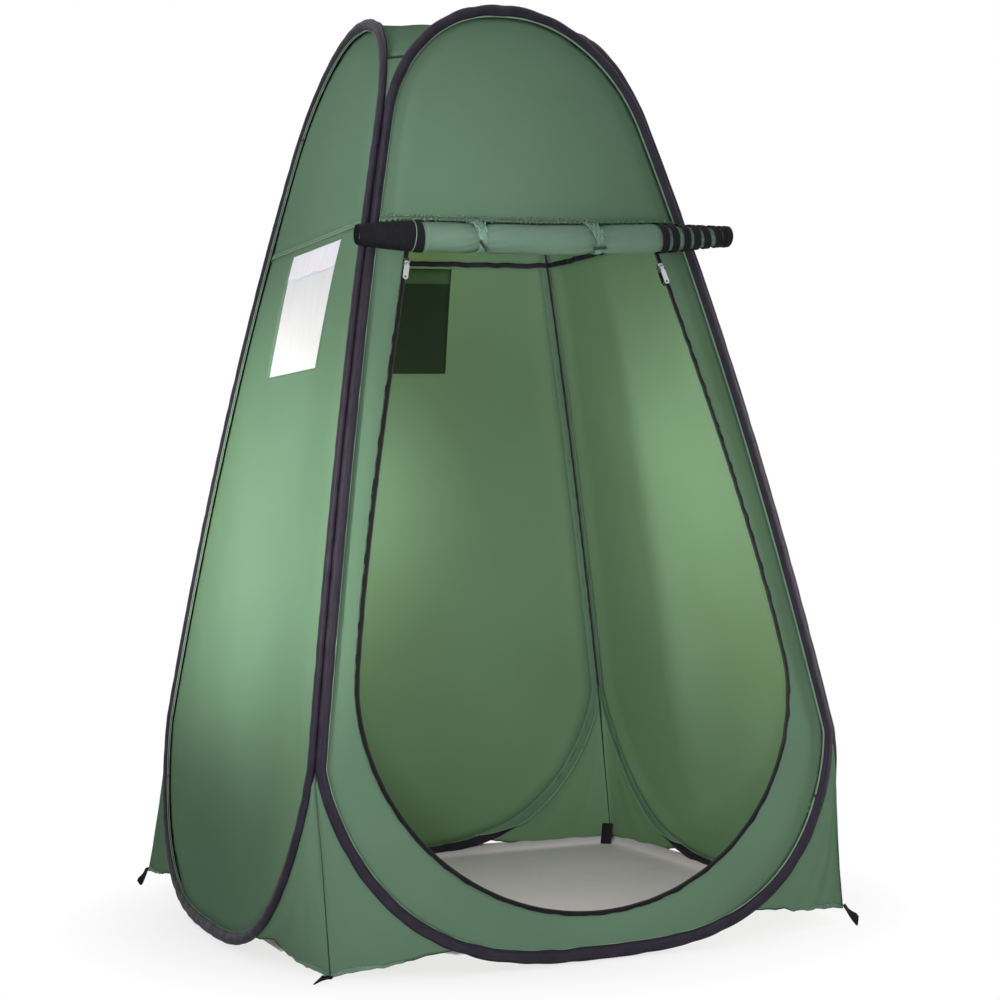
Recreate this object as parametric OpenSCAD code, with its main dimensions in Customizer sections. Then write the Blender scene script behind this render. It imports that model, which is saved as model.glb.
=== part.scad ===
// Pop-up privacy shower tent with its door rolled up.
// Four sprung steel hoops in binding sleeves are sewn together along the corners, one hoop to a wall.
// The origin is on the ground under the middle of the tent, the doorway faces -Y, and +Z is up.

/* [Overall] */
// Height from the ground to the top of the hoops
tent_h = 1900; // [1700:10:2200]
// Distance from the middle to each wall at the ground
foot_half = 612; // [540:2:680]
// Distance from the middle to each wall at the top
crown_half = 228; // [190:2:280]
// Share of the wall's lean that is straight, the rest curves in towards the top
lean = 0.73; // [0.6:0.01:0.85]
// Power of the curved share of the lean
lean_power = 2.5; // [2:0.1:3]

/* [Hoops] */
// Height where neighbouring hoops part towards the ground
join_low = 397; // [320:1:460]
// Rise of the hoops' tops above the height where neighbouring hoops part
crown_rise = 271; // [230:1:320]
// Thickness of the spring wire
wire_d = 3; // [2.5:0.1:4]
// Width of the binding sleeve along the corners
sleeve_d = 18; // [15:0.5:22]
// Width of the looser sleeve at the top and bottom of a hoop
sleeve_end_d = 24; // [20:0.5:30]
// Thickness of the sleeve's binding tape
sleeve_t = 1.2; // [0.8:0.1:2]
// Outside width of the crimped ferrule that joins the wire's ends
ferrule_d = 4.8; // [4.4:0.1:6]
// Length of the ferrule
ferrule_len = 30; // [20:1:40]

/* [Fabric] */
// Thickness of the wall fabric with its coating and seams
fabric_t = 1.2; // [0.8:0.1:2]
// Height of the seam between the lower and upper wall panels
seam_z = 1430; // [1400:1:1480]
// Width of the black tape along the inside of that seam
strap_w = 20; // [12:1:30]
// Thickness of that tape
strap_t = 1.5; // [1:0.1:2.5]
// Drop of the middle of the roof below the hoops' tops
roof_drop = 50; // [30:1:70]
// Thickness of the ground sheet
sheet_t = 1.2; // [0.8:0.1:3]
// How far the sheet's corners lie in from the base tips, but for the rear right one
sheet_in = 110; // [12:1:140]

/* [Doorway] */
// Width of the cloth between the doorway and the hoop at the doorway's widest place
door_frame_w = 57; // [46:0.1:80]
// Height of that widest place
door_wide_z = 520; // [470:1:600]
// Height of the doorway's lower edge
door_low_z = 92; // [75:1:140]
// Height of the doorway's upper edge
door_top_z = 1404; // [1385:1:1408]
// Narrowing of each side from the widest place to the straight part
door_taper = 128; // [112:1:140]
// Height where the straight upper part of the zip begins
zip_straight_z = 1150; // [1100:5:1180]
// Width of the zip tape round the doorway
zip_w = 10; // [8:0.5:14]
// Thickness of the zip tape and its teeth
zip_t = 2.4; // [2:0.1:3]

/* [Rolled door] */
// Length of the rolled-up door
roll_len = 816; // [760:2:860]
// Distance that the roll lies off the middle
roll_shift = 20; // [0:1:40]
// Diameter of the roll between its ties
roll_d = 62; // [54:1:70]
// Diameter of the roll at its ends
roll_end_d = 38; // [32:1:44]
// Diameter of the hollow up the middle of the roll
roll_core_d = 15; // [12:0.5:18]
// Turns of the rolled cloth
roll_turns = 4; // [3:1:4]
// Free space between two turns
roll_gap = 0.8; // [0.5:0.1:1.2]
// Depth that each tie draws the roll in
tie_pinch = 5; // [4:0.5:8]
// Place of the left tie across the tent
tie_left_x = -135; // [-160:1:-110]
// Place of the right tie across the tent
tie_right_x = 117; // [95:1:150]
// Width of a tie
tie_w = 16; // [10:1:22]
// Thickness of a tie
tie_t = 1.5; // [1:0.1:2]
// Length of a toggle
toggle_len = 30; // [24:1:40]
// Diameter of a toggle
toggle_d = 6; // [5:0.5:8]
// Length of the left end that the wound zip tape covers
wrap_left = 136; // [110:1:150]
// Length of the right end that the wound zip tape covers
wrap_right = 184; // [150:1:200]
// Thickness of the wound zip tape
wrap_t = 1.2; // [1:0.1:2]

/* [Zip sliders] */
// Height of the sliders on the zip
slider_z = 1347; // [1330:1:1352]
// Length of a slider
slider_len = 16; // [12:0.5:20]
// Width of a slider
slider_w = 11; // [9:0.5:14]
// Thickness of a slider's plates
slider_plate = 1.4; // [1:0.1:2]
// Running room between slider and tape
slider_room = 0.9; // [0.7:0.1:1.2]
// Length of a pull
pull_len = 38; // [30:1:44]
// Width of a pull
pull_w = 11; // [8:0.5:13]
// Thickness of a pull
pull_t = 1.6; // [1.2:0.1:2.2]
// Diameter of the bar that a pull swings on
bail_d = 2; // [1.6:0.1:2.4]

/* [Windows] */
// Width of a mesh window
window_w = 330; // [260:2:360]
// Height of the left window
window_h = 262; // [200:2:300]
// Height of the rear window
rear_window_h = 226; // [200:2:300]
// Distance of the left window off the middle of its wall
window_shift = 45; // [20:1:70]
// Distance of the rear window off the middle of its wall
rear_window_shift = 74; // [20:1:90]
// Thickness of the mesh
mesh_t = 0.8; // [0.6:0.1:1.2]
// Width of the mesh that is sewn behind the wall
mesh_margin = 7; // [5:0.5:9]
// Thickness of a window flap
flap_t = 1; // [0.8:0.1:1.5]
// Diameter of the rolled-up window flap
flap_roll_d = 30; // [24:1:36]
// Width of the small ties round the rolled-up window flap
flap_tie_w = 12; // [8:1:18]

/* [Corners] */
// How far the front left base tip lies in from the foot of both walls
tip_in_front_left = 90; // [52:2:112]
// How far the front right base tip lies in
tip_in_front_right = 52; // [12:2:82]
// How far the rear right base tip lies in
tip_in_rear_right = 22; // [12:2:62]
// How far the rear left base tip lies in
tip_in_rear_left = 12; // [12:2:52]
// Height of the front left base tip
front_lift = 10; // [8:1:20]
// Height of the other base tips
other_lift = 18; // [12:1:30]
// Rise and fall of the gussets' hems
hem_wave = 7; // [3:0.5:9]
// Width of the webbing of a stake loop
loop_w = 20; // [16:1:26]
// Length of a stake loop
loop_len = 52; // [44:1:70]
// Outside height of a stake loop
loop_h = 16; // [13:0.5:18]
// Thickness of the webbing
loop_t = 1.6; // [1.2:0.1:2.2]

/* [Hidden] */

gap = 0.3;
edge_gap = 0.8;
green = [0.36, 0.47, 0.40];
dark_green = [0.17, 0.24, 0.16];
black = [0.12, 0.11, 0.13];

// Turn about Z that takes the front wall to each wall
front_turn = 0;
left_turn = -90;
rear_turn = 180;
right_turn = 90;
turns = [front_turn, left_turn, rear_turn, right_turn];

// Exponents of the rounded ends of a hoop, height first and then width
crown_p = 2.53;
crown_q = 2.26;
base_p = 1.23;
base_q = 2.98;

// Places along a rounded end, in degrees from where the hoops part to the end's middle
base_start = 13;
base_hem = 74;
crown_start = 9;
crown_gusset_end = 29;
crown_roof = 31;
base_steps = 10;
side_steps = 5;
crown_steps = 9;
end_crowding = 1.5;
slit_half = 15;

function wall(z) =
    let (u = max(0, z) / tent_h)
    foot_half - (foot_half - crown_half) * (lean * u + (1 - lean) * pow(u, lean_power));
function wall_slope(z) = wall(z + 0.5) - wall(z - 0.5);
function unit(v) = v / norm(v);
function mix(a, b, t) = a + (b - a) * t;

sleeve_r = sleeve_d / 2;
sleeve_end_r = sleeve_end_d / 2;
corner_inset = (sleeve_d + gap) / sqrt(2);
join_top = tent_h - crown_rise;
hoop_hi = tent_h - sleeve_end_r;
hoop_lo = sheet_t + gap + sleeve_end_r;

// A place on a hoop is [half-width, height, sleeve radius]
function hoop_place(z, arch) = [
    (wall(z) - corner_inset) * arch, z, mix(sleeve_r, sleeve_end_r, 1 - arch)
];
function crown_place(angle) = hoop_place(
    join_top + (hoop_hi - join_top) * pow(sin(angle), 2 / crown_p), pow(max(0, cos(angle)), 2 / crown_q));
function base_place(angle) = hoop_place(
    join_low - (join_low - hoop_lo) * pow(sin(angle), 2 / base_p), pow(max(0, cos(angle)), 2 / base_q));
function crowded(k, n) = 90 * (1 - pow(1 - k / n, end_crowding));

hoop_half = concat(
    [for (k = [base_steps:-1:0]) base_place(crowded(k, base_steps))],
    [for (k = [1:side_steps - 1]) hoop_place(mix(join_low, join_top, k / side_steps), 1)],
    [for (k = [0:crown_steps]) crown_place(crowded(k, crown_steps))]
);
hoop_last = len(hoop_half) - 1;
function mirrored(place) = [-place[0], place[1], place[2]];
hoop = concat(hoop_half, [for (k = [hoop_last - 1:-1:1]) mirrored(hoop_half[k])]);
function on_front(place) = [place[0], -wall(place[1]), place[1]];
function on_left(place) = [-wall(place[1]), -place[0], place[1]];
function wall_out(z) = unit([0, -1, -wall_slope(z)]);

// Faces of a section swept through rings of points. An open sweep's section is a strip, whose first
// and last points face each other, so that its ends are closed across the strip.
function ring_faces(rings, sides, closed) = concat(
    [for (i = [0:rings - (closed ? 1 : 2)], j = [0:sides - 1], half = [0, 1])
        let (a = i * sides + j, b = i * sides + (j + 1) % sides)
        let (c = ((i + 1) % rings) * sides + j, d = ((i + 1) % rings) * sides + (j + 1) % sides)
        half == 0 ? [a, b, d] : [a, d, c]],
    closed ? [] : [for (j = [0:sides / 2 - 2], half = [0, 1], end = [0, (rings - 1) * sides])
        let (a = end + j, b = end + j + 1, c = end + sides - 2 - j, d = end + sides - 1 - j)
        let (tri = half == 0 ? [a, b, c] : [a, c, d])
        end == 0 ? [tri[2], tri[1], tri[0]] : tri]
);
module sweep(rings, closed = false) {
    sides = len(rings[0]);
    polyhedron([for (ring = rings, point = ring) point], ring_faces(len(rings), sides, closed));
}
function hoop_ring(k, section) =
    let (count = len(hoop))
    let (before = on_front(hoop[(k + count - 1) % count]), after = on_front(hoop[(k + 1) % count]))
    let (along = unit(after - before), out = wall_out(hoop[k][1]), aside = unit(cross(out, along)))
    [for (j = [len(section) - 1:-1:0]) on_front(hoop[k]) + section[j][0] * out - section[j][1] * aside];

// Binding sleeve: a tape folded round the wire, open in a slit towards the panel that it is sewn to
sleeve_outer_sides = 8;
sleeve_inner_sides = 6;
inner_step = (360 - 2 * slit_half) / sleeve_inner_sides;
function sleeve_section(r) = concat(
    [for (k = [0:sleeve_outer_sides])
        let (a = 180 - slit_half - k * (360 - 2 * slit_half) / sleeve_outer_sides) r * [sin(a), cos(a)]],
    [for (k = [0:sleeve_inner_sides])
        let (a = slit_half - 180 + k * inner_step) (r - sleeve_t) * [sin(a), cos(a)]]
);
module sleeve(turn) {
    color(black)
        rotate([0, 0, turn])
            sweep([for (k = [0:len(hoop) - 1]) hoop_ring(k, sleeve_section(hoop[k][2]))], closed = true);
}

// The sprung wire presses outwards against its sleeve, with room for the ferrule
function wire_seat(r) = r - sleeve_t - (ferrule_d / 2 + gap) / cos(inner_step / 2);
function round_section(r, sides, seat) =
    [for (k = [0:sides - 1]) let (a = 360 * k / sides) [0, seat] + r * [-sin(a), cos(a)]];
wire_sides = 6;
module hoop_wire(turn) {
    color("silver")
        rotate([0, 0, turn])
            sweep([for (k = [0:len(hoop) - 1])
                hoop_ring(k, round_section(wire_d / 2, wire_sides, wire_seat(hoop[k][2])))], closed = true);
}

// A ferrule closes each wire at the middle of the hoop's lower edge
ferrule_sides = 8;
ferrule_bore = (wire_d / 2 + gap) / cos(180 / ferrule_sides);
module ferrule() {
    lowest = hoop[0];
    seat = wire_seat(lowest[2]);
    translate(hoop_ring(0, [[0, seat]])[0])
        rotate([0, 90, 0])
            difference() {
                cylinder(h = ferrule_len, d = ferrule_d, center = true, $fn = 24);
                cylinder(h = 2 * ferrule_len, r = ferrule_bore, center = true, $fn = 24);
            }
}
module hoop_ferrules() {
    color("gray")
        for (turn = turns)
            rotate([0, 0, turn])
                ferrule();
}

// A sheet that follows the front wall from height low to high, between two depths inside its face
strip_step = 90;
module wall_sheet(low, high, outer_depth, inner_depth) {
    steps = ceil((high - low) / strip_step);
    heights = [for (k = [0:steps]) mix(low, high, k / steps)];
    outer = [for (z = heights) [outer_depth - wall(z), z]];
    inner = [for (k = [steps:-1:0]) [inner_depth - wall(heights[k]), heights[k]]];
    rotate([90, 0, 90])
        linear_extrude(height = 4 * foot_half, center = true)
            polygon(concat(outer, inner));
}
module across_wall() {
    rotate([90, 0, 0])
        linear_extrude(height = 4 * foot_half, center = true)
            children();
}
// The hoop's outline drawn in by the sleeve, as a flat shape in X and Z
function outline_point(k) =
    let (count = len(hoop), before = hoop[(k + count - 1) % count], after = hoop[(k + 1) % count])
    let (along = unit([after[0] - before[0], after[1] - before[1]]))
    [hoop[k][0], hoop[k][1]] + (hoop[k][2] + edge_gap) * [-along[1], along[0]];
module panel_outline() {
    polygon([for (k = [0:len(hoop) - 1]) outline_point(k)]);
}
module upper_panel(turn) {
    color(green)
        rotate([0, 0, turn])
            intersection() {
                wall_sheet(seam_z + gap / 2, tent_h, 0, fabric_t);
                across_wall() panel_outline();
            }
}
module lower_panel(turn) {
    color(green)
        rotate([0, 0, turn])
            difference() {
                intersection() {
                    wall_sheet(0, seam_z - gap / 2, 0, fabric_t);
                    across_wall() panel_outline();
                }
                children();
            }
}

// Doorway outline: half an ellipse below, drawn-in sides above, and straight up to its top
door_half = hoop_place(door_wide_z, 1)[0] - sleeve_r - door_frame_w;
door_arc_steps = 12;
door_side_steps = 8;
taper_power = 1.22;
taper_rise = zip_straight_z - door_wide_z;
straight_slope = taper_power * door_taper / taper_rise;
function door_side(z) = z > zip_straight_z
    ? door_half - door_taper - straight_slope * (z - zip_straight_z)
    : door_half - door_taper * pow((z - door_wide_z) / taper_rise, taper_power);
door_right = concat(
    [for (k = [0:door_arc_steps])
        let (a = 90 * k / door_arc_steps)
        [door_half * sin(a), door_wide_z - (door_wide_z - door_low_z) * cos(a)]],
    [for (k = [1:door_side_steps])
        let (z = mix(door_wide_z, zip_straight_z, k / door_side_steps)) [door_side(z), z]],
    [[door_side(door_top_z), door_top_z]]
);
door_count = len(door_right);
door_loop = concat(
    [for (k = [door_count - 1:-1:1]) [-door_right[k][0], door_right[k][1]]], door_right);
function door_normal(k) =
    let (last = len(door_loop) - 1)
    let (along = unit(door_loop[min(k + 1, last)] - door_loop[max(k - 1, 0)]))
    [along[1], -along[0]];
function door_offset(d) = [for (k = [0:len(door_loop) - 1]) door_loop[k] + d * door_normal(k)];
module lower_panel_front() {
    lower_panel(front_turn)
        across_wall() polygon(door_offset(zip_w + gap));
}

// Zip tape and teeth round the doorway, in the plane of the wall
zip_mid = fabric_t / 2;
function zip_ring(k) =
    let (inner = door_loop[k], outer = door_offset(zip_w)[k])
    let (out = wall_out(inner[1]))
    [for (p = [[outer, 1], [inner, 1], [inner, -1], [outer, -1]])
        [p[0][0], zip_mid - wall(p[0][1]), p[0][1]] + p[1] * zip_t / 2 * out];
module door_zip() {
    color(black)
        sweep([for (k = [0:len(door_loop) - 1]) zip_ring(k)]);
}

// Windows sit just under the seam of the left and rear walls
window_top = seam_z - strap_w / 2 - mesh_margin - 2 * gap;
// A window is [distance off the middle, height]
left_window = [window_shift, window_h];
rear_window = [rear_window_shift, rear_window_h];
module window_hole(window, margin) {
    across_wall()
        translate([window[0] - window_w / 2 - margin, window_top - window[1] - margin])
            square([window_w + 2 * margin, window[1] + 2 * margin]);
}
module lower_panel_windowed(turn, window) {
    lower_panel(turn)
        window_hole(window, 0);
}
mesh_depth = fabric_t + gap;
function mesh_low(window) = window_top - window[1] - mesh_margin;
mesh_high = window_top + mesh_margin;
flap_depth = mesh_depth + mesh_t + gap;
flap_top = mesh_high - 2 * gap;
module window_mesh(turn, window) {
    color("whitesmoke")
        rotate([0, 0, turn])
            intersection() {
                wall_sheet(mesh_low(window), mesh_high, mesh_depth, mesh_depth + mesh_t);
                window_hole(window, mesh_margin);
            }
}
module window_flap_rear() {
    color(dark_green)
        rotate([0, 0, rear_turn])
            intersection() {
                wall_sheet(mesh_low(rear_window), flap_top, flap_depth, flap_depth + flap_t);
                window_hole(rear_window, mesh_margin);
            }
}

// Cloth wound on itself: a spiral of thick turns, lofted along X through places [x, radius]
turn_steps = 12;
function spiral(r, core_r, turns, space) =
    let (pitch = (r - core_r) / turns, count = turns * turn_steps)
    let (near = [for (k = [0:count]) let (a = 360 * k / turn_steps)
        (core_r + pitch * k / turn_steps - pitch + space) * [cos(a), sin(a)]])
    let (far = [for (k = [count:-1:0]) let (a = 360 * k / turn_steps)
        (core_r + pitch * k / turn_steps) * [cos(a), sin(a)]])
    concat(near, far);
module wound_cloth(places, core_r, turns, space) {
    sweep([for (place = places)
        [for (p = spiral(place[1], core_r, turns, space)) [place[0], p[0], p[1]]]]);
}

roll_r = roll_d / 2;
roll_end_r = roll_end_d / 2;
roll_core_r = roll_core_d / 2;
roll_left = roll_shift - roll_len / 2;
roll_right = roll_shift + roll_len / 2;
roll_z = seam_z - roll_r - wrap_t - fabric_t - 4 * gap;
strip_z = roll_z + roll_r + wrap_t + 2 * gap;
roll_lean = atan(-wall_slope(roll_z));
tie_spread = 26;
wrap_left_end = roll_left + wrap_left;
wrap_right_end = roll_right - wrap_right;
function roll_plain(x) =
    x < wrap_left_end ? mix(roll_end_r, roll_r, (x - roll_left) / wrap_left)
    : x > wrap_right_end ? mix(roll_end_r, roll_r, (roll_right - x) / wrap_right)
    : roll_r;
function pinch_at(x, tie_x) = tie_pinch * exp(-pow((x - tie_x) / tie_spread, 2));
function roll_radius(x) = roll_plain(x) - pinch_at(x, tie_left_x) - pinch_at(x, tie_right_x);
tie_stations = [-2 * tie_spread, -tie_w / 2 - gap, tie_w / 2 + gap, 2 * tie_spread];
roll_stations = concat(
    [roll_left, wrap_left_end],
    [for (d = tie_stations) tie_left_x + d],
    [for (d = tie_stations) tie_right_x + d],
    [wrap_right_end, roll_right]
);
// The roll lies against the front hoop where it crosses it
cross_x = hoop_place(roll_z, 1)[0] - sleeve_r;
cross_r = max(roll_plain(-cross_x), roll_plain(cross_x)) + gap + wrap_t;
roll_y = -wall(roll_z) - max(roll_r + 3 * gap, sleeve_r + cross_r + gap) / cos(roll_lean);
module at_roll() {
    translate([0, roll_y, roll_z])
        children();
}
module door_roll() {
    color(green)
        at_roll()
            wound_cloth([for (x = roll_stations) [x, roll_radius(x)]], roll_core_r, roll_turns, roll_gap);
}
// The top of the door, from its seam to the roll
strip_half = door_side(door_top_z);
module door_strip() {
    color(green)
        translate([-strip_half, roll_y, strip_z])
            cube([2 * strip_half, -roll_y - wall(strip_z) - edge_gap, fabric_t]);
}

// The door's zip tape wound round an end of the roll as a helix, through turns of one pitch
wrap_steps = 12;
function wrap_ring(x, angle, width) =
    [for (p = [[0, 1], [width, 1], [width, 0], [0, 0]])
        let (r = roll_plain(x + p[0]) + gap + p[1] * wrap_t)
        [x + p[0], r * cos(angle), r * sin(angle)]];
module door_wrap(start, length, turns, width) {
    count = turns * wrap_steps;
    color(black)
        at_roll()
            sweep([for (k = [0:count])
                wrap_ring(start + (length - width) * k / count, 360 * k / wrap_steps, width)]);
}
wrap_left_turns = 10;
wrap_right_turns = 8;
wrap_left_w = wrap_left / (wrap_left_turns + 1) - 2 * roll_gap;
wrap_right_w = 11;
module door_wrap_left() {
    door_wrap(roll_left, wrap_left, wrap_left_turns, wrap_left_w);
}
module door_wrap_right() {
    door_wrap(wrap_right_end, wrap_right, wrap_right_turns, wrap_right_w);
}
echo(least_gap_of_roll = roll_gap);
echo(least_gap_of_left_wrap = (wrap_left - wrap_left_w) / wrap_left_turns - wrap_left_w);
echo(least_gap_of_right_wrap = (wrap_right - wrap_right_w) / wrap_right_turns - wrap_right_w);

// A tie is a band round the drawn-in roll, and a toggle sits on its lower front
tie_r = roll_radius(tie_left_x + tie_w / 2) + gap;
module tie(x) {
    color(green)
        at_roll()
            translate([x, 0, 0])
                rotate([0, 90, 0])
                    difference() {
                        cylinder(h = tie_w, r = tie_r + tie_t, center = true, $fn = 48);
                        cylinder(h = 2 * tie_w, r = tie_r, center = true, $fn = 48);
                    }
}
toggle_drop = 35;
module toggle(x, slant) {
    color(black)
        at_roll()
            translate([x, 0, 0])
                rotate([toggle_drop, 0, 0])
                    translate([0, -tie_r - tie_t - gap - toggle_d / 2, 0])
                        rotate([0, slant, 0]) {
                            cylinder(h = toggle_len - toggle_d, d = toggle_d, center = true, $fn = 24);
                            for (side = [-1, 1])
                                translate([0, 0, side * (toggle_len - toggle_d) / 2])
                                    sphere(d = toggle_d, $fn = 24);
                        }
}
left_slant = -42;
right_slant = 84;

// The rolled-up flap of the left window, hung inside its upper edge
flap_roll_r = flap_roll_d / 2;
flap_core_r = flap_roll_r / 3;
flap_turns = 2;
flap_roll_z = window_top - flap_roll_r;
flap_roll_lean = atan(-wall_slope(flap_roll_z));
flap_roll_y = -wall(flap_roll_z) + mesh_depth + mesh_t + (flap_roll_r + gap) / cos(flap_roll_lean);
flap_tie_places = [-window_w / 4, window_w / 4];
flap_tie_dip = tie_t + gap;
flap_dip_half = flap_tie_w / 2 + edge_gap;
flap_dip_end = flap_dip_half + 4 * flap_tie_dip;
function flap_radius(x) =
    min([for (place = flap_tie_places)
        abs(x - place) < flap_dip_end ? flap_roll_r - flap_tie_dip : flap_roll_r]);
flap_dip = [-flap_dip_end, -flap_dip_half, flap_dip_half, flap_dip_end];
flap_stations = concat(
    [-window_w / 2],
    [for (place = flap_tie_places, d = flap_dip) place + d],
    [window_w / 2]
);
module at_flap_roll() {
    rotate([0, 0, left_turn])
        translate([window_shift, flap_roll_y, flap_roll_z])
            children();
}
module window_flap_left() {
    color(dark_green)
        at_flap_roll()
            wound_cloth([for (x = flap_stations) [x, flap_radius(x)]], flap_core_r, flap_turns, roll_gap);
}
module window_flap_ties() {
    tie_inner = flap_roll_r - flap_tie_dip + gap / 2;
    color(black)
        at_flap_roll()
            for (place = flap_tie_places)
                translate([place, 0, 0])
                    rotate([0, 90, 0])
                        difference() {
                            cylinder(h = flap_tie_w, r = tie_inner + tie_t, center = true, $fn = 48);
                            cylinder(h = 2 * flap_tie_w, r = tie_inner, center = true, $fn = 48);
                        }
}

// Tape along the inside of the seam between the upper and lower panels
module seam_strap(turn) {
    half = hoop_place(seam_z, 1)[0] - sleeve_r - 4 * edge_gap;
    color(black)
        rotate([0, 0, turn])
            intersection() {
                wall_sheet(seam_z - strap_w / 2, seam_z + strap_w / 2, mesh_depth, mesh_depth + strap_t);
                across_wall()
                    translate([-half, 0])
                        square([2 * half, tent_h]);
            }
}

// A cloth shell between two grids of points, one row of points after another
module shell(outer, inner) {
    rows = len(outer);
    cols = len(outer[0]);
    points = concat([for (row = outer, p = row) p], [for (row = inner, p = row) p]);
    under = rows * cols;
    border = concat(
        [for (j = [0:cols - 2]) j],
        [for (i = [0:rows - 2]) i * cols + cols - 1],
        [for (j = [cols - 1:-1:1]) (rows - 1) * cols + j],
        [for (i = [rows - 1:-1:1]) i * cols]
    );
    edge = len(border);
    polyhedron(points, concat(
        [for (i = [0:rows - 2], j = [0:cols - 2], half = [0, 1])
            let (a = i * cols + j, b = a + 1, c = a + cols, d = c + 1)
            half == 0 ? [a, b, d] : [a, d, c]],
        [for (i = [0:rows - 2], j = [0:cols - 2], half = [0, 1])
            let (a = under + i * cols + j, b = a + 1, c = a + cols, d = c + 1)
            half == 0 ? [a, d, b] : [a, c, d]],
        [for (k = [0:edge - 1], half = [0, 1])
            let (a = border[k], b = border[(k + 1) % edge])
            half == 0 ? [a, a + under, b + under] : [a, b + under, b]]
    ));
}
// The point on a sleeve's side that faces a target, square to the hoop's run there
function beside_sleeve(place, point, along, target) =
    let (away = target - point)
    point + (place[2] + edge_gap) * unit(away - (away * along) * along);
corner_out = unit([-1, -1, 0]);
// Run of the left hoop and of the front hoop's left side, from two places close together
run_step = 0.5;
function left_run(low, high) = unit(on_left(high) - on_left(low));
function front_run(low, high) = unit(on_front(mirrored(high)) - on_front(mirrored(low)));

// Base gusset of the front left corner: from both hoops to a seam that runs down to the pegged tip
gusset_rows = 9;
gusset_cols = 4;
hem_waves = 1.5;
function gusset_row(i, tip) =
    let (s = i / gusset_rows, start = base_place(base_start), angle = mix(base_start, base_hem, s))
    let (place = base_place(angle), next = base_place(angle + run_step))
    let (head = (on_front(mirrored(start)) + on_left(start)) / 2)
    let (middle = mix(head, tip, s))
    let (left = beside_sleeve(place, on_left(place), left_run(place, next), middle))
    let (right = beside_sleeve(place, on_front(mirrored(place)), front_run(place, next), middle))
    [for (j = [-gusset_cols:gusset_cols])
        let (t = 1 - abs(j) / gusset_cols, p = mix(j < 0 ? left : right, middle, t))
        let (wave = hem_wave * pow(s, 5) * sin(360 * hem_waves * t))
        p + [0, 0, wave]];
module base_gusset(turn, reach, lift) {
    tip = [-reach, -reach, lift];
    middle = [for (i = [0:gusset_rows]) gusset_row(i, tip)];
    outer = [for (row = middle) [for (p = row) p + fabric_t / 2 * corner_out]];
    inner = [for (row = middle) [for (p = row) p - fabric_t / 2 * corner_out]];
    color(green)
        rotate([0, 0, turn])
            shell(outer, inner);
}

// Top gusset of the front left corner: straight across from hoop to hoop, up to the roof's edge
top_rows = 5;
top_cols = 3;
function top_row(i) =
    let (angle = mix(crown_start, crown_gusset_end, i / top_rows))
    let (place = crown_place(angle), next = crown_place(angle + run_step))
    let (left = on_left(place), right = on_front(mirrored(place)))
    let (from = beside_sleeve(place, left, left_run(place, next), right))
    let (to = beside_sleeve(place, right, front_run(place, next), left))
    [for (j = [0:top_cols]) mix(from, to, j / top_cols)];
module top_gusset(turn) {
    middle = [for (i = [top_rows:-1:0]) top_row(i)];
    outer = [for (row = middle) [for (p = row) p + fabric_t / 2 * corner_out]];
    inner = [for (row = middle) [for (p = row) p - fabric_t / 2 * corner_out]];
    color(green)
        rotate([0, 0, turn])
            shell(outer, inner);
}

// Roof: a slack sheet between the tops of the four hoops
roof_arc_steps = 5;
roof_power = 2.6;
roof_radii = [0.3, 0.6, 0.85, 1];
roof_z = tent_h - roof_drop;
roof_middle = [0, 0, roof_z];
function roof_edge_point(k, side) =
    let (angle = mix(crown_roof, 90, k / roof_arc_steps))
    let (place = crown_place(angle), before = crown_place(angle - run_step))
    let (p = beside_sleeve(place, on_front(place), unit(on_front(place) - on_front(before)), roof_middle))
    [side * p[0], p[1], p[2]];
roof_arc = concat(
    [for (k = [0:roof_arc_steps]) roof_edge_point(k, -1)],
    [for (k = [roof_arc_steps - 1:-1:0]) roof_edge_point(k, 1)]
);
function turned(p, a) = [p[0] * cos(a) - p[1] * sin(a), p[0] * sin(a) + p[1] * cos(a), p[2]];
roof_edge = [for (turn = [front_turn, right_turn, rear_turn, left_turn], p = roof_arc) turned(p, turn)];
function roof_point(p, s) = [p[0] * s, p[1] * s, mix(roof_z, p[2], pow(s, roof_power))];
module roof_panel() {
    count = len(roof_edge);
    top = concat([roof_middle], [for (s = roof_radii, p = roof_edge) roof_point(p, s)]);
    points = concat(top, [for (p = top) p - [0, 0, fabric_t]]);
    under = len(top);
    rings = len(roof_radii);
    rim = 1 + (rings - 1) * count;
    color(green)
        polyhedron(points, concat(
            [for (j = [0:count - 1]) [0, 1 + (j + 1) % count, 1 + j]],
            [for (j = [0:count - 1]) [under, under + 1 + j, under + 1 + (j + 1) % count]],
            [for (i = [0:rings - 2], j = [0:count - 1], side = [0, under], half = [0, 1])
                let (a = side + 1 + i * count + j, b = side + 1 + i * count + (j + 1) % count)
                let (tri = half == 0 ? [a, b, b + count] : [a, b + count, a + count])
                side == 0 ? tri : [tri[2], tri[1], tri[0]]],
            [for (j = [0:count - 1], half = [0, 1])
                let (a = rim + j, b = rim + (j + 1) % count)
                half == 0 ? [a, b, b + under] : [a, b + under, a + under]]
        ));
}

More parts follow.
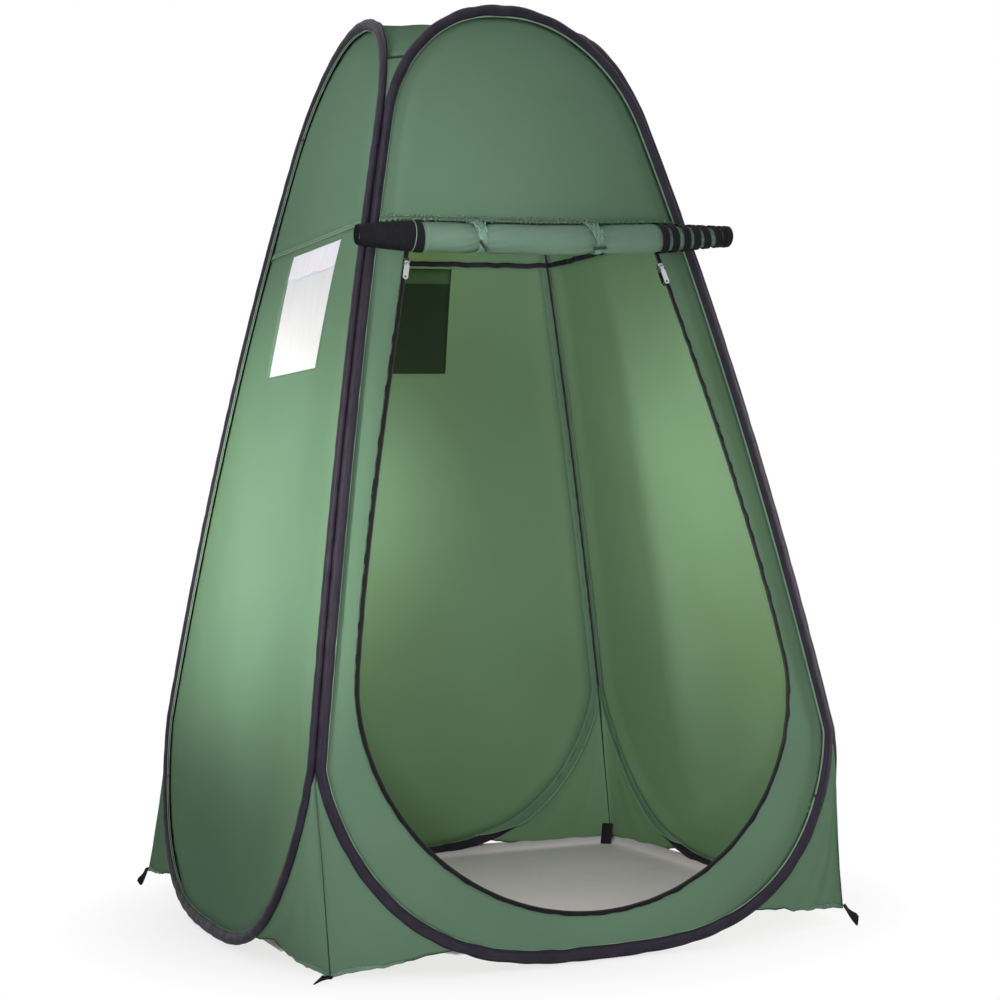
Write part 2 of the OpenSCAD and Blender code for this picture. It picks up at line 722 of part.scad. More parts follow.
// Loose sheet on the ground, cut to lie under the hoops, with its rear right corner drawn out to the tip
sheet_inset = sleeve_end_r;
sheet_side = wall(hoop_lo);
sheet_break = base_place(base_hem)[0] - sheet_inset;
tip_front_left = foot_half - tip_in_front_left;
tip_front_right = foot_half - tip_in_front_right;
tip_rear_right = foot_half - tip_in_rear_right;
tip_rear_left = foot_half - tip_in_rear_left;
tip_reaches = [tip_front_left, tip_front_right, tip_rear_right, tip_rear_left];
sheet_insets = [sheet_in, sheet_in, sheet_inset, sheet_in];
function sheet_corner(reach) = [
    [-sheet_side, -sheet_break, 0], [-reach, -reach, 0], [-sheet_break, -sheet_side, 0]
];
module ground_sheet() {
    color("gray")
        linear_extrude(height = sheet_t)
            polygon([for (k = [0:3], p = sheet_corner(tip_reaches[k] - sheet_insets[k]))
                [turned(p, 90 * k)[0], turned(p, 90 * k)[1]]]);
}

// Zip slider: two plates round the tape's inner edge, joined by a bridge, with a bar for each pull
zip_run = door_top_z - zip_straight_z;
zip_share = (slider_z - zip_straight_z) / zip_run;
zip_wall = mix(wall(zip_straight_z), wall(door_top_z), zip_share);
zip_lean = atan((wall(zip_straight_z) - wall(door_top_z)) / zip_run);
zip_slant = atan(straight_slope * cos(zip_lean));
slot_half = zip_t / 2 + slider_room;
bail_post = 1.6;
bridge_w = 2;
eye_room = 0.5;
eye_ring = 1.2;
eye_r = bail_d / 2 + eye_room;
bail_out = slot_half + slider_plate + eye_r + eye_ring + gap;
module at_slider(side) {
    translate([side * door_side(slider_z), zip_mid - zip_wall, slider_z])
        rotate([-zip_lean, 0, 0])
            rotate([0, -side * zip_slant, 0])
                children();
}
module zip_slider(side) {
    bar_len = slider_w - bail_post;
    post_mid = (slot_half + slider_plate + bail_out) / 2;
    color("silver")
        at_slider(side)
            translate([side * (slider_w / 2 - bridge_w - slider_room), 0, 0]) {
                for (face = [-1, 1])
                    translate([0, face * (slot_half + slider_plate / 2), 0])
                        cube([slider_w, slider_plate, slider_len], center = true);
                translate([-side * (slider_w - bridge_w) / 2, 0, 0])
                    cube([bridge_w, 2 * slot_half + slider_plate, slider_len], center = true);
                for (face = [-1, 1]) {
                    for (end = [-1, 1])
                        translate([end * (slider_w - bail_post) / 2, face * post_mid, 0])
                            cube([bail_post, bail_out - slot_half, 2 * bail_d], center = true);
                    translate([0, face * bail_out, 0])
                        rotate([0, 90, 0])
                            cylinder(h = bar_len, d = bail_d, center = true, $fn = 24);
                }
            }
}
// A pull is a flat tab with an eye round the slider's bar and a hole at its end
pull_eye_w = slider_w - 2 * bail_post - 2 * gap;
pull_hole_r = pull_w / 5;
module zip_pull(side, face) {
    tab_len = pull_len - pull_w / 2;
    color("silver")
        at_slider(side)
            translate([side * (slider_w / 2 - bridge_w - slider_room), face * bail_out, 0])
                difference() {
                    union() {
                        rotate([0, 90, 0])
                            cylinder(h = pull_eye_w, r = eye_r + eye_ring, center = true, $fn = 32);
                        translate([-pull_eye_w / 2, -pull_t / 2, -slider_len])
                            cube([pull_eye_w, pull_t, slider_len]);
                        translate([-pull_w / 2, -pull_t / 2, -tab_len])
                            cube([pull_w, pull_t, tab_len - slider_len / 2 - gap]);
                        translate([0, 0, -tab_len])
                            rotate([90, 0, 0])
                                cylinder(h = pull_t, d = pull_w, center = true, $fn = 48);
                    }
                    rotate([0, 90, 0])
                        cylinder(h = 2 * slider_w, r = eye_r, center = true, $fn = 32);
                    translate([0, 0, -tab_len])
                        rotate([90, 0, 0])
                            cylinder(h = 2 * pull_w, r = pull_hole_r, center = true, $fn = 32);
                }
}

// Stake loop of webbing: a flat ring of band that slopes from a base tip to the ground outside,
// or is turned in under the hem and lies on the ground sheet
module loop_outline(inset) {
    r = loop_h / 2 - inset;
    for (end = [0, loop_len - loop_h])
        translate([end, 0])
            circle(r = r, $fn = 48);
    translate([0, -r])
        square([loop_len - loop_h, 2 * r]);
}
corner_turn = 225;
module stake_loop(turn, reach, lift, inside = false) {
    low = loop_h / 2 + gap + (inside ? sheet_t : 0);
    drop = inside ? 0 : max(0, asin((lift - low) / (loop_len - loop_h)));
    aside = fabric_t + gap + loop_h / 2;
    color(black)
        rotate([0, 0, turn + corner_turn])
            translate([norm([reach, reach]) + (inside ? -aside : aside), 0, inside ? low : max(lift, low)])
                rotate([90, drop, inside ? 180 : 0])
                    linear_extrude(height = loop_w, center = true)
                        difference() {
                            loop_outline(0);
                            loop_outline(loop_t);
                        }
}

hoop_wire(front_turn);  // hoop_wire_front
hoop_wire(left_turn);  // hoop_wire_left
hoop_wire(rear_turn);  // hoop_wire_rear
hoop_wire(right_turn);  // hoop_wire_right
hoop_ferrules();
sleeve(front_turn);  // sleeve_front
sleeve(left_turn);  // sleeve_left
sleeve(rear_turn);  // sleeve_rear
sleeve(right_turn);  // sleeve_right
upper_panel(front_turn);  // upper_panel_front
upper_panel(left_turn);  // upper_panel_left
upper_panel(rear_turn);  // upper_panel_rear
upper_panel(right_turn);  // upper_panel_right
lower_panel_front();
lower_panel_windowed(left_turn, left_window);  // lower_panel_left
lower_panel_windowed(rear_turn, rear_window);  // lower_panel_rear
lower_panel(right_turn);  // lower_panel_right
roof_panel();
top_gusset(front_turn);  // top_gusset_front_left
top_gusset(right_turn);  // top_gusset_front_right
top_gusset(left_turn);  // top_gusset_rear_left
top_gusset(rear_turn);  // top_gusset_rear_right
base_gusset(front_turn, tip_front_left, front_lift);  // base_gusset_front_left
base_gusset(right_turn, tip_front_right, other_lift);  // base_gusset_front_right
base_gusset(left_turn, tip_rear_left, other_lift);  // base_gusset_rear_left
base_gusset(rear_turn, tip_rear_right, other_lift);  // base_gusset_rear_right
ground_sheet();
seam_strap(front_turn);  // seam_strap_front
seam_strap(left_turn);  // seam_strap_left
seam_strap(rear_turn);  // seam_strap_rear
seam_strap(right_turn);  // seam_strap_right
window_mesh(left_turn, left_window);  // window_mesh_left
window_mesh(rear_turn, rear_window);  // window_mesh_rear
window_flap_left();
window_flap_ties();
window_flap_rear();
door_zip();
door_roll();
door_strip();
door_wrap_left();
door_wrap_right();
tie(tie_left_x);  // tie_left
tie(tie_right_x);  // tie_right
toggle(tie_left_x, left_slant);  // toggle_left
toggle(tie_right_x, right_slant);  // toggle_right
zip_slider(-1);  // zip_slider_left
zip_slider(1);  // zip_slider_right
zip_pull(-1, -1);  // pull_left_outer
zip_pull(-1, 1);  // pull_left_inner
zip_pull(1, -1);  // pull_right_outer
zip_pull(1, 1);  // pull_right_inner
stake_loop(front_turn, tip_front_left, front_lift);  // stake_loop_front_left
stake_loop(right_turn, tip_front_right, other_lift);  // stake_loop_front_right
stake_loop(left_turn, tip_rear_left, other_lift);  // stake_loop_rear_left
stake_loop(rear_turn, tip_rear_right, other_lift, true);  // stake_loop_rear_right
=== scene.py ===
"""Looks of the pop-up privacy shower tent: cloth, binding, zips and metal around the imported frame.

Lengths are in metres, in the frame of the solids: +Z up, the doorway faces -Y.
"""
from math import atan, cos, pi, radians, sin, sqrt

import bmesh
import bpy
import numpy as np
from mathutils import Matrix, Vector


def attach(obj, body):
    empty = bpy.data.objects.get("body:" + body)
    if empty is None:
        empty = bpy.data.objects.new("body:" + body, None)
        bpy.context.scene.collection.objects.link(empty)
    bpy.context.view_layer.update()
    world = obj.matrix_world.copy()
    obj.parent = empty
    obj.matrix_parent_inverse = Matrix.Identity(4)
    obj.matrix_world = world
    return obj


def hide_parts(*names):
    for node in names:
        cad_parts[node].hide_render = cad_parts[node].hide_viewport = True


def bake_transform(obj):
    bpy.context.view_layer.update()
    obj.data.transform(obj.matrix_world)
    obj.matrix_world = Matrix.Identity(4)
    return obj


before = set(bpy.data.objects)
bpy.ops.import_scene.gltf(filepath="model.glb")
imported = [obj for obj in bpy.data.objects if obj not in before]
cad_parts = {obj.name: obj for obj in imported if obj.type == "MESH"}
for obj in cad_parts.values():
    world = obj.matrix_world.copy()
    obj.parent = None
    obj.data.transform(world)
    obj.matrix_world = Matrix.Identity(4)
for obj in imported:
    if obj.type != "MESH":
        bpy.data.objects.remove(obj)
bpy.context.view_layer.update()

# Driving sizes, the same as the solids'
TENT_H, FOOT_HALF, CROWN_HALF = 1.900, 0.612, 0.228
LEAN, LEAN_POWER = 0.73, 2.5
JOIN_LOW, JOIN_TOP = 0.397, 1.629
SLEEVE_R, SLEEVE_END_R = 0.009, 0.012
CLEAR = 0.0003
CORNER_INSET = (2 * SLEEVE_R + CLEAR) / sqrt(2)
CROWN_P, CROWN_Q, BASE_P, BASE_Q = 2.53, 2.26, 1.23, 2.98
SHEET_T, CLOTH_T = 0.0012, 0.0012
HOOP_HI = TENT_H - SLEEVE_END_R
HOOP_LO = SHEET_T + CLEAR + SLEEVE_END_R
SEAM_Z = 1.430
TURNS = {"front": 0, "left": -90, "rear": 180, "right": 90}
CORNERS = {"front_left": 0, "front_right": 90, "rear_right": 180, "rear_left": -90}


# Shape of the walls and hoops
def wall(z):
    """Distance of a wall from the middle at height z."""
    u = np.maximum(z, 0) / TENT_H
    return FOOT_HALF - (FOOT_HALF - CROWN_HALF) * (LEAN * u + (1 - LEAN) * u**LEAN_POWER)


def wall_slope(z):
    return (wall(z + 0.0005) - wall(z - 0.0005)) / 0.001


def unit(v):
    return v / np.linalg.norm(v, axis=-1, keepdims=True)


def turned(points, degrees):
    """Points of the front wall, turned about Z to another wall or corner."""
    a = radians(degrees)
    x, y, z = np.moveaxis(np.asarray(points, float), -1, 0)
    return np.stack([x * cos(a) - y * sin(a), x * sin(a) + y * cos(a), z], -1)


def hoop_place(z, arch):
    """A hoop's half-width, height and sleeve radius, stacked in the last axis."""
    r = SLEEVE_R + (SLEEVE_END_R - SLEEVE_R) * (1 - arch)
    return np.stack([(wall(z) - CORNER_INSET) * arch, z + 0 * arch, r], -1)


def crown_place(degrees):
    a = np.radians(degrees)
    z = JOIN_TOP + (HOOP_HI - JOIN_TOP) * np.sin(a) ** (2 / CROWN_P)
    return hoop_place(z, np.maximum(np.cos(a), 0) ** (2 / CROWN_Q))


def base_place(degrees):
    a = np.radians(degrees)
    z = JOIN_LOW - (JOIN_LOW - HOOP_LO) * np.sin(a) ** (2 / BASE_P)
    return hoop_place(z, np.maximum(np.cos(a), 0) ** (2 / BASE_Q))


def run_length(line):
    return float(np.linalg.norm(np.diff(line, axis=0), axis=1).sum())


def run_along(line):
    """Distance of each point from the line's start."""
    return np.concatenate([[0], np.cumsum(np.linalg.norm(np.diff(line, axis=0), axis=1))])


def smooth(share):
    """Eases from 0 to 1 with level ends."""
    return share**2 * (3 - 2 * share)


def round_x(x, r, a):
    """Points at a radius and angle round the X axis."""
    return np.stack([x + 0 * (r * a), r * np.cos(a), r * np.sin(a)], -1)


def sampled(at, run, line):
    """Rows of a line, or of what goes with it, at distances along its run."""
    return np.stack([np.interp(at, run, line[:, k]) for k in range(line.shape[1])], -1)


def resampled(line, count):
    """The same line with points at even steps along it."""
    run = run_along(line)
    return sampled(np.linspace(0, run[-1], count), run, line)


def hoop_line(count):
    """A hoop from its lowest point, up its right side, over the top and down its left side."""
    dense = np.linspace(0, 90, 600)
    sides = hoop_place(np.linspace(JOIN_LOW, JOIN_TOP, 200)[1:-1], np.ones(198))
    right = resampled(np.concatenate([base_place(dense[::-1]), sides, crown_place(dense)]), count // 2 + 1)
    left = right[-2:0:-1] * [-1, 1, 1]
    return np.concatenate([right, left])


HOOP_COUNT = 640
HOOP = hoop_line(HOOP_COUNT)


def hoop_frames():
    """Points of the front hoop, with the wall's outward direction and the hoop's own outward one."""
    points = np.stack([HOOP[:, 0], -wall(HOOP[:, 1]), HOOP[:, 1]], -1)
    along = unit(np.roll(points, -1, 0) - np.roll(points, 1, 0))
    out = unit(np.stack([0 * HOOP[:, 1], -1 + 0 * HOOP[:, 1], -wall_slope(HOOP[:, 1])], -1))
    aside = unit(np.cross(along, out))
    return points, out, aside


HOOP_POINTS, HOOP_OUT, HOOP_ASIDE = hoop_frames()


def hoop_edge(inset):
    """The hoop's outline in X and Z, drawn in from the middle of its sleeve."""
    flat = unit(np.roll(HOOP[:, :2], -1, 0) - np.roll(HOOP[:, :2], 1, 0))
    return HOOP[:, :2] + (HOOP[:, 2:3] + inset) * np.stack([-flat[:, 1], flat[:, 0]], -1)


TUCK = -0.0025
PANEL_EDGE = hoop_edge(TUCK)
SLEEVE_SIDE = hoop_edge(0)


def edge_distance(x, z, line=SLEEVE_SIDE[::2]):
    """Distance of wall points from an outline on that wall."""
    flat = np.stack([np.ravel(x), np.ravel(z)], -1)
    near = np.concatenate([np.linalg.norm(part[:, None] - line[None], axis=2).min(1)
                           for part in np.array_split(flat, max(1, len(flat) // 800))])
    return near.reshape(np.shape(x))


def panel_half(z, edge=PANEL_EDGE):
    """Half the panel's width at heights along the hoop's sides."""
    right = edge[(edge[:, 0] > 0.15) & (edge[:, 1] > 0.3) & (edge[:, 1] < 1.7)]
    order = np.argsort(right[:, 1])
    return np.interp(z, right[order, 1], right[order, 0])


def panel_reach(angle, centre_z, edge=PANEL_EDGE):
    """Distance from (0, centre_z) to the panel's edge, at angles from the horizontal."""
    a = np.arctan2(edge[:, 1] - centre_z, np.abs(edge[:, 0]))
    order = np.argsort(a)
    return np.interp(angle, a[order], np.hypot(edge[order, 0], edge[order, 1] - centre_z))


# Slackness: cloth swells a little between its seams and puckers beside them
SWELL, SWELL_RUN, SEAM_RUN = 0.007, 0.055, 0.05
PUCKER, PUCKER_RUN = 0.0009, 0.03


def ripples(along, count, low, high, seed):
    """A sum of sines with seeded phases, about 1 high, for puckers and creases along a seam."""
    draw = np.random.default_rng(seed)
    waves = [np.sin(along * draw.uniform(low, high) + draw.uniform(0, 2 * pi)) for _ in range(count)]
    return sum(waves) / sqrt(count)


def swell(x, z, inner=None, seed=1):
    """How far the cloth of a wall stands out of the wall's plane."""
    near = edge_distance(x, z)
    rise = SWELL * (1 - np.exp(-near / SWELL_RUN)) * (1 - np.exp(-np.abs(z - SEAM_Z) / SEAM_RUN))
    if inner is not None:
        near_door = edge_distance(x, z, inner)
        rise = rise * (1 - np.exp(-near_door / SWELL_RUN))
        near = np.minimum(near, near_door)
    ring = np.arctan2(z - 0.9, x) * 0.8
    return rise + PUCKER * np.exp(-near / PUCKER_RUN) * ripples(ring, 7, 40, 130, seed)


BAND_FLAT, FACING_OVER, DIP_RUN, DIP_FROM = 0.86, 0.0014, 0.045, 0.035
HOOP_SIDE = HOOP[:HOOP_COUNT // 2 + 1]


def facing_depth(radius):
    """How far inside the wall's plane cloth runs over the inside of a sleeve."""
    return BAND_FLAT * radius + FACING_OVER


def edge_dip(z, near):
    """How far a panel runs inward at a distance from a sleeve, to pass behind it."""
    share = np.clip(1 - near / DIP_RUN, 0, 1) * np.clip((z - DIP_FROM) / DIP_RUN, 0, 1)
    return facing_depth(np.interp(z, HOOP_SIDE[:, 1], HOOP_SIDE[:, 2])) * smooth(share)


def on_wall(x, z, depth, name, inner=None):
    """Points on a wall, depth inside its plane."""
    y = depth - wall(z) - swell(x, z, inner, seed=len(name)) + edge_dip(z, edge_distance(x, z))
    return turned(np.stack([x, y, z], -1), TURNS[name])


# Meshes
def piece(name, points, faces, material, body="tent"):
    """A smooth mesh in place, riding on a body, or on none."""
    mesh = bpy.data.meshes.new(name)
    mesh.from_pydata(np.asarray(points, float).reshape(-1, 3).tolist(), [], faces)
    mesh.shade_smooth()
    mesh.materials.append(material)
    made = bpy.data.objects.new(name, mesh)
    bpy.context.scene.collection.objects.link(made)
    if body:
        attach(made, body)
    return made


def grid_faces(rows, cols, closed_rows=False, closed_cols=False, keep=None):
    """Quads of a grid of points, row after row. keep(i, j) says which quads stay."""
    faces = []
    for i in range(rows if closed_rows else rows - 1):
        for j in range(cols if closed_cols else cols - 1):
            if keep is None or keep(i, j):
                i2, j2 = (i + 1) % rows, (j + 1) % cols
                faces.append((i * cols + j, i * cols + j2, i2 * cols + j2, i2 * cols + j))
    return faces


def welded(made, within=0.00002):
    """Joins points that lie on each other."""
    work = bmesh.new()
    work.from_mesh(made.data)
    bmesh.ops.remove_doubles(work, verts=work.verts, dist=within)
    bmesh.ops.recalc_face_normals(work, faces=work.faces)
    work.to_mesh(made.data)
    work.free()
    made.data.shade_smooth()


def thicken(made, thickness):
    solid = made.modifiers.new("thickness", "SOLIDIFY")
    solid.thickness = thickness
    solid.offset = 0.0


def grid_area(points):
    a = points[1:, :-1] - points[:-1, :-1]
    b = points[:-1, 1:] - points[:-1, :-1]
    return float(np.linalg.norm(np.cross(a, b), axis=-1).sum())


def cloth(name, points, material, node, slot, flat, held, rests_on, thickness=0.0009, body="tent", area=None,
          **grid):
    """A sheet of cloth from a grid of points. It replaces a solid where a node is named."""
    points = np.asarray(points)
    made = piece(name, points, grid_faces(*points.shape[:2], **grid), material, body)
    welded(made)
    thicken(made, thickness)
    if node:
        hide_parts(node)
    return made


def tube(line, radius, sides, closed=False):
    """Points of a round tube along a line."""
    line = np.asarray(line, float)
    if closed:
        run = unit(np.roll(line, -1, 0) - np.roll(line, 1, 0))
    else:
        run = unit(np.gradient(line, axis=0))
    side = unit(np.cross(run, np.where(np.abs(run[:, 2:3]) > 0.9, [[1.0, 0, 0]], [[0, 0, 1.0]])))
    up = np.cross(side, run)
    a = np.linspace(0, 2 * pi, sides, endpoint=False)
    radius = np.broadcast_to(radius, len(line))[:, None, None]
    a = a[None, :, None]
    return line[:, None] + radius * (np.cos(a) * side[:, None] + np.sin(a) * up[:, None])


def tube_piece(name, line, radius, sides, material, body="tent", closed=False):
    points = tube(line, radius, sides, closed)
    faces = grid_faces(len(points), sides, closed_rows=closed, closed_cols=True)
    if not closed:
        last = (len(points) - 1) * sides
        faces += [tuple(range(sides))[::-1], tuple(range(last, last + sides))]
    made = piece(name, points, faces, material, body)
    welded(made)
    return made


def tubes_piece(name, lines, radii, sides, material, body="tent"):
    """Several open tubes as one mesh. radii holds one row of radii for each line."""
    points, faces = [], []
    for line, radius in zip(lines, radii):
        first = len(points) * len(lines[0]) * sides
        points.append(tube(line, radius, sides).reshape(-1, 3))
        faces += [tuple(first + k for k in face) for face in grid_faces(len(line), sides, closed_cols=True)]
        last = first + (len(line) - 1) * sides
        faces += [tuple(range(first, first + sides))[::-1], tuple(range(last, last + sides))]
    return piece(name, np.concatenate(points), faces, material, body)


def stitches(name, lines, material, body="tent", slot=None, pitch=0.007, length=0.0052, width=0.0011,
             height=0.0007):
    """Rows of raised stitches. Each line is (points, outward directions)."""
    points, faces = [], []
    for line, out in lines:
        run = run_along(line)
        at = np.arange(pitch / 2, run[-1], pitch)
        middle = sampled(at, run, line)
        up = unit(sampled(at, run, out))
        along = unit(sampled(at + pitch / 4, run, line) - middle + 1e-9)
        side = np.cross(along, up)
        for m, d, s, u in zip(middle, along, side, up):
            first = len(points)
            for end in (-0.5, -0.3, 0.3, 0.5):
                lift = height if abs(end) < 0.4 else 0
                half = width / 2 if abs(end) < 0.4 else width / 5
                base = m + d * end * length
                points += [base - s * half, base + u * lift, base + s * half]
            for k in range(3):
                a, b = first + 3 * k, first + 3 * k + 3
                faces += [(a, a + 1, b + 1, b), (a + 1, a + 2, b + 2, b + 1), (a + 2, a, b, b + 2)]
            faces += [(first + 2, first + 1, first), (first + 9, first + 10, first + 11)]
    return piece(name, points, faces, material, body)


# Materials
def linear(r, g, b):
    """A colour as read from a screen, 0 to 255, in linear light."""
    levels = [((c / 255 + 0.055) / 1.055) ** 2.4 if c > 10 else c / 255 / 12.92 for c in (r, g, b)]
    return (*levels, 1.0)


class Shader:
    """A material under construction: nodes are added by type and joined by name."""

    def __init__(self, name):
        self.material = bpy.data.materials.new(name)
        self.material.use_nodes = True
        self.tree = self.material.node_tree
        self.principled = self.tree.nodes["Principled BSDF"]
        self.output = self.tree.nodes["Material Output"]
        self.place = self.add("ShaderNodeTexCoord").outputs["Object"]

    def add(self, kind, **inputs):
        node = self.tree.nodes.new(kind)
        for key, value in inputs.items():
            self.set(node, key.replace("_", " "), value)
        return node

    def set(self, node, key, value):
        if isinstance(value, bpy.types.NodeSocket):
            self.tree.links.new(value, node.inputs[key])
        else:
            node.inputs[key].default_value = value

    def surface(self, **inputs):
        for key, value in inputs.items():
            self.set(self.principled, key.replace("_", " "), value)

    def noise(self, scale, detail=2.0, stretch=None):
        place = self.place
        if stretch:
            mapping = self.add("ShaderNodeMapping", Vector=self.place)
            mapping.inputs["Scale"].default_value = stretch
            place = mapping.outputs["Vector"]
        return self.add("ShaderNodeTexNoise", Vector=place, Scale=scale, Detail=detail).outputs["Fac"]

    def ranged(self, value, low, high):
        node = self.add("ShaderNodeMapRange", Value=value, To_Min=low, To_Max=high)
        node.inputs["From Min"].default_value, node.inputs["From Max"].default_value = 0.25, 0.75
        return node.outputs["Result"]

    def blended(self, factor, a, b):
        node = self.add("ShaderNodeMix")
        node.data_type = "RGBA"
        colours = [s for s in node.inputs if s.type == "RGBA"]
        self.tree.links.new(factor, node.inputs[0])
        colours[0].default_value, colours[1].default_value = a, b
        return [s for s in node.outputs if s.type == "RGBA"][0]

    def threads(self, pitch):
        """Crossing threads of a plain weave, on walls that face X or Y as well as on level cloth."""
        split = self.add("ShaderNodeSeparateXYZ", Vector=self.place).outputs
        across = self.math("ADD", split["X"], split["Y"])
        waves = [self.math("SINE", self.math("MULTIPLY", v, 2 * pi / pitch)) for v in (across, split["Z"])]
        return self.math("ADD", *waves)

    def math(self, operation, a, b=None):
        node = self.add("ShaderNodeMath")
        node.operation = operation
        for k, value in enumerate([a] if b is None else [a, b]):
            if isinstance(value, bpy.types.NodeSocket):
                self.tree.links.new(value, node.inputs[k])
            else:
                node.inputs[k].default_value = value
        return node.outputs[0]

    def bump(self, height, distance, strength=1.0, normal=None):
        node = self.add("ShaderNodeBump", Height=height, Distance=distance, Strength=strength)
        if normal:
            self.set(node, "Normal", normal)
        return node.outputs["Normal"]

    def mixed(self, share, other):
        """Shows a share of another shader in place of the surface."""
        mix = self.add("ShaderNodeMixShader", Fac=share)
        self.tree.links.new(self.principled.outputs[0], mix.inputs[1])
        self.tree.links.new(other.outputs[0], mix.inputs[2])
        self.tree.links.new(mix.outputs[0], self.output.inputs["Surface"])

    def see_through(self, colour, share):
        """Lets some light through the cloth."""
        self.mixed(share, self.add("ShaderNodeBsdfTranslucent", Color=linear(*colour)))

    def mottled(self, noise, dark, light):
        """A colour that wanders between two."""
        return self.blended(self.ranged(noise, 0, 1), linear(*dark), linear(*light))


def coated_cloth(name, light, dark, glow, glow_share, roughness=0.5, shine=0.03):
    """Thin coated polyester: plain weave, fine creases, some light through it."""
    s = Shader(name)
    s.surface(Base_Color=s.mottled(s.noise(2.6, 3.0), dark, light), Specular_IOR_Level=shine,
              Roughness=s.ranged(s.noise(9.0), roughness - 0.05, roughness + 0.06))
    creases = s.bump(s.noise(14.0, 4.0), 0.004, 0.35)
    s.surface(Normal=s.bump(s.threads(0.0013), 0.00012, 0.5, creases))
    s.see_through(glow, glow_share)
    return s.material


def tape(name, light, dark, roughness, crease, rib=None, shine=0.16):
    """Woven black tape with a satin face."""
    s = Shader(name)
    s.surface(Base_Color=s.mottled(s.noise(30.0, 3.0), dark, light), Specular_IOR_Level=shine,
              Roughness=s.ranged(s.noise(40.0), roughness - 0.06, roughness + 0.08))
    normal = s.bump(s.noise(38.0, 4.0), 0.003, crease)
    s.surface(Normal=s.bump(s.threads(rib or 0.0011), 0.0002, 0.6, normal))
    return s.material


def mesh_cloth(name, colour, streak, share):
    """White insect mesh: fine holes, faint upright streaks."""
    s = Shader(name)
    streaks = s.noise(60.0, 3.0, (1.0, 1.0, 0.06))
    s.surface(Base_Color=s.mottled(streaks, streak, colour), Roughness=0.7)
    s.surface(Normal=s.bump(s.threads(0.0016), 0.0004, 0.7), Sheen_Weight=0.1)
    s.see_through(colour, share)
    return s.material


def metal(name, colour, roughness):
    s = Shader(name)
    light = linear(*colour)
    dark = tuple(0.8 * c for c in light[:3]) + (1.0,)
    s.surface(Base_Color=s.blended(s.ranged(s.noise(60.0, 3.0), 0, 1), dark, light))
    s.surface(Metallic=1.0, Roughness=s.ranged(s.noise(220.0, 4.0), roughness - 0.06, roughness + 0.1))
    return s.material


def plastic(name, colour):
    s = Shader(name)
    s.surface(Base_Color=linear(*colour), Roughness=s.ranged(s.noise(120.0, 4.0), 0.32, 0.45))
    s.surface(Normal=s.bump(s.noise(900.0), 0.0002, 0.25))
    return s.material


GREEN = coated_cloth("green_cloth", (101, 129, 109), (93, 119, 100), (156, 176, 112), 0.40, 0.55, 0.0)
# The same green cloth painted darker: painted shade in the folds of the rolled door and of the gathered
# gusset hems.
FOLD_SHADE_GREEN = coated_cloth("green_cloth_painted_fold_shade", (90, 114, 98), (80, 102, 87), (110, 136, 100),
                          0.05, 0.40, 0.14)
TIE_GREEN = coated_cloth("tie_cloth", (104, 138, 122), (66, 94, 82), (110, 136, 100), 0.05, 0.30, 0.5)
DARK_GREEN = coated_cloth("dark_green_cloth", (38, 53, 36), (31, 44, 30), (34, 48, 30), 0.1, 0.55)
THREAD = coated_cloth("pale_thread", (176, 190, 172), (150, 168, 150), (150, 168, 140), 0.1)
# Pale green: the thread of stitches and sewing lines, and a painted highlight on the sleeves' seam lines and
# the facings' edges, where the cloth's edge catches light.
PALE_THREAD_AND_EDGE_HIGHLIGHT = coated_cloth("green_thread_and_painted_edge_highlight", (128, 154, 132), (104, 130, 110), (120, 150, 110), 0.1)
# A lighter copy of the dark green cloth: painted light on the top strip of the rear window's flap.
DARK_GREEN_PAINTED_LIGHT = coated_cloth("dark_green_painted_light_strip", (66, 90, 62), (56, 78, 52), (70, 92, 60), 0.1)
SEAM_DARK = coated_cloth("dark_seam_thread", (52, 66, 54), (40, 52, 42), (40, 52, 40), 0.05)
BINDING = tape("black_binding_tape", (34, 27, 42), (20, 16, 26), 0.40, 0.7)
WEBBING = tape("black_webbing_tape", (22, 21, 23), (14, 13, 15), 0.6, 0.2, 0.0022, 0.10)
ZIP_TAPE = tape("zip_tape_cloth", (20, 18, 22), (12, 11, 14), 0.6, 0.15, shine=0.10)
MESH = mesh_cloth("white_mesh_cloth", (210, 210, 212), (200, 200, 203), 0.25)
MESH_DOUBLE = mesh_cloth("white_mesh_doubled", (210, 207, 215), (197, 194, 203), 0.1)
# Painted shade: the grey of a sheet laid where the ground inside the tent is in shade.
PAINTED_SHADE_GREY = coated_cloth("grey_sheet_painted_ground_shade", (206, 199, 206), (199, 192, 199), (150, 150, 150), 0.05, 0.6)
STEEL = metal("spring_steel", (150, 152, 156), 0.32)
FERRULE = metal("zinc_ferrule", (176, 178, 180), 0.38)
NICKEL = metal("nickel_zip_metal", (196, 196, 198), 0.24)
TOGGLE = plastic("black_toggle_plastic", (26, 26, 28))


# Binding sleeves
BAND_T, LIP_RUN, LIP_FROM, SLIT = 0.0010, 0.0022, 2.2, radians(16)
CROWN_BAND, CROWN_BAND_Z = 0.64, (1.33, 1.44, 1.60, 1.68)
SLACK_SIDE, SLACK_END = 0.45, 1.0


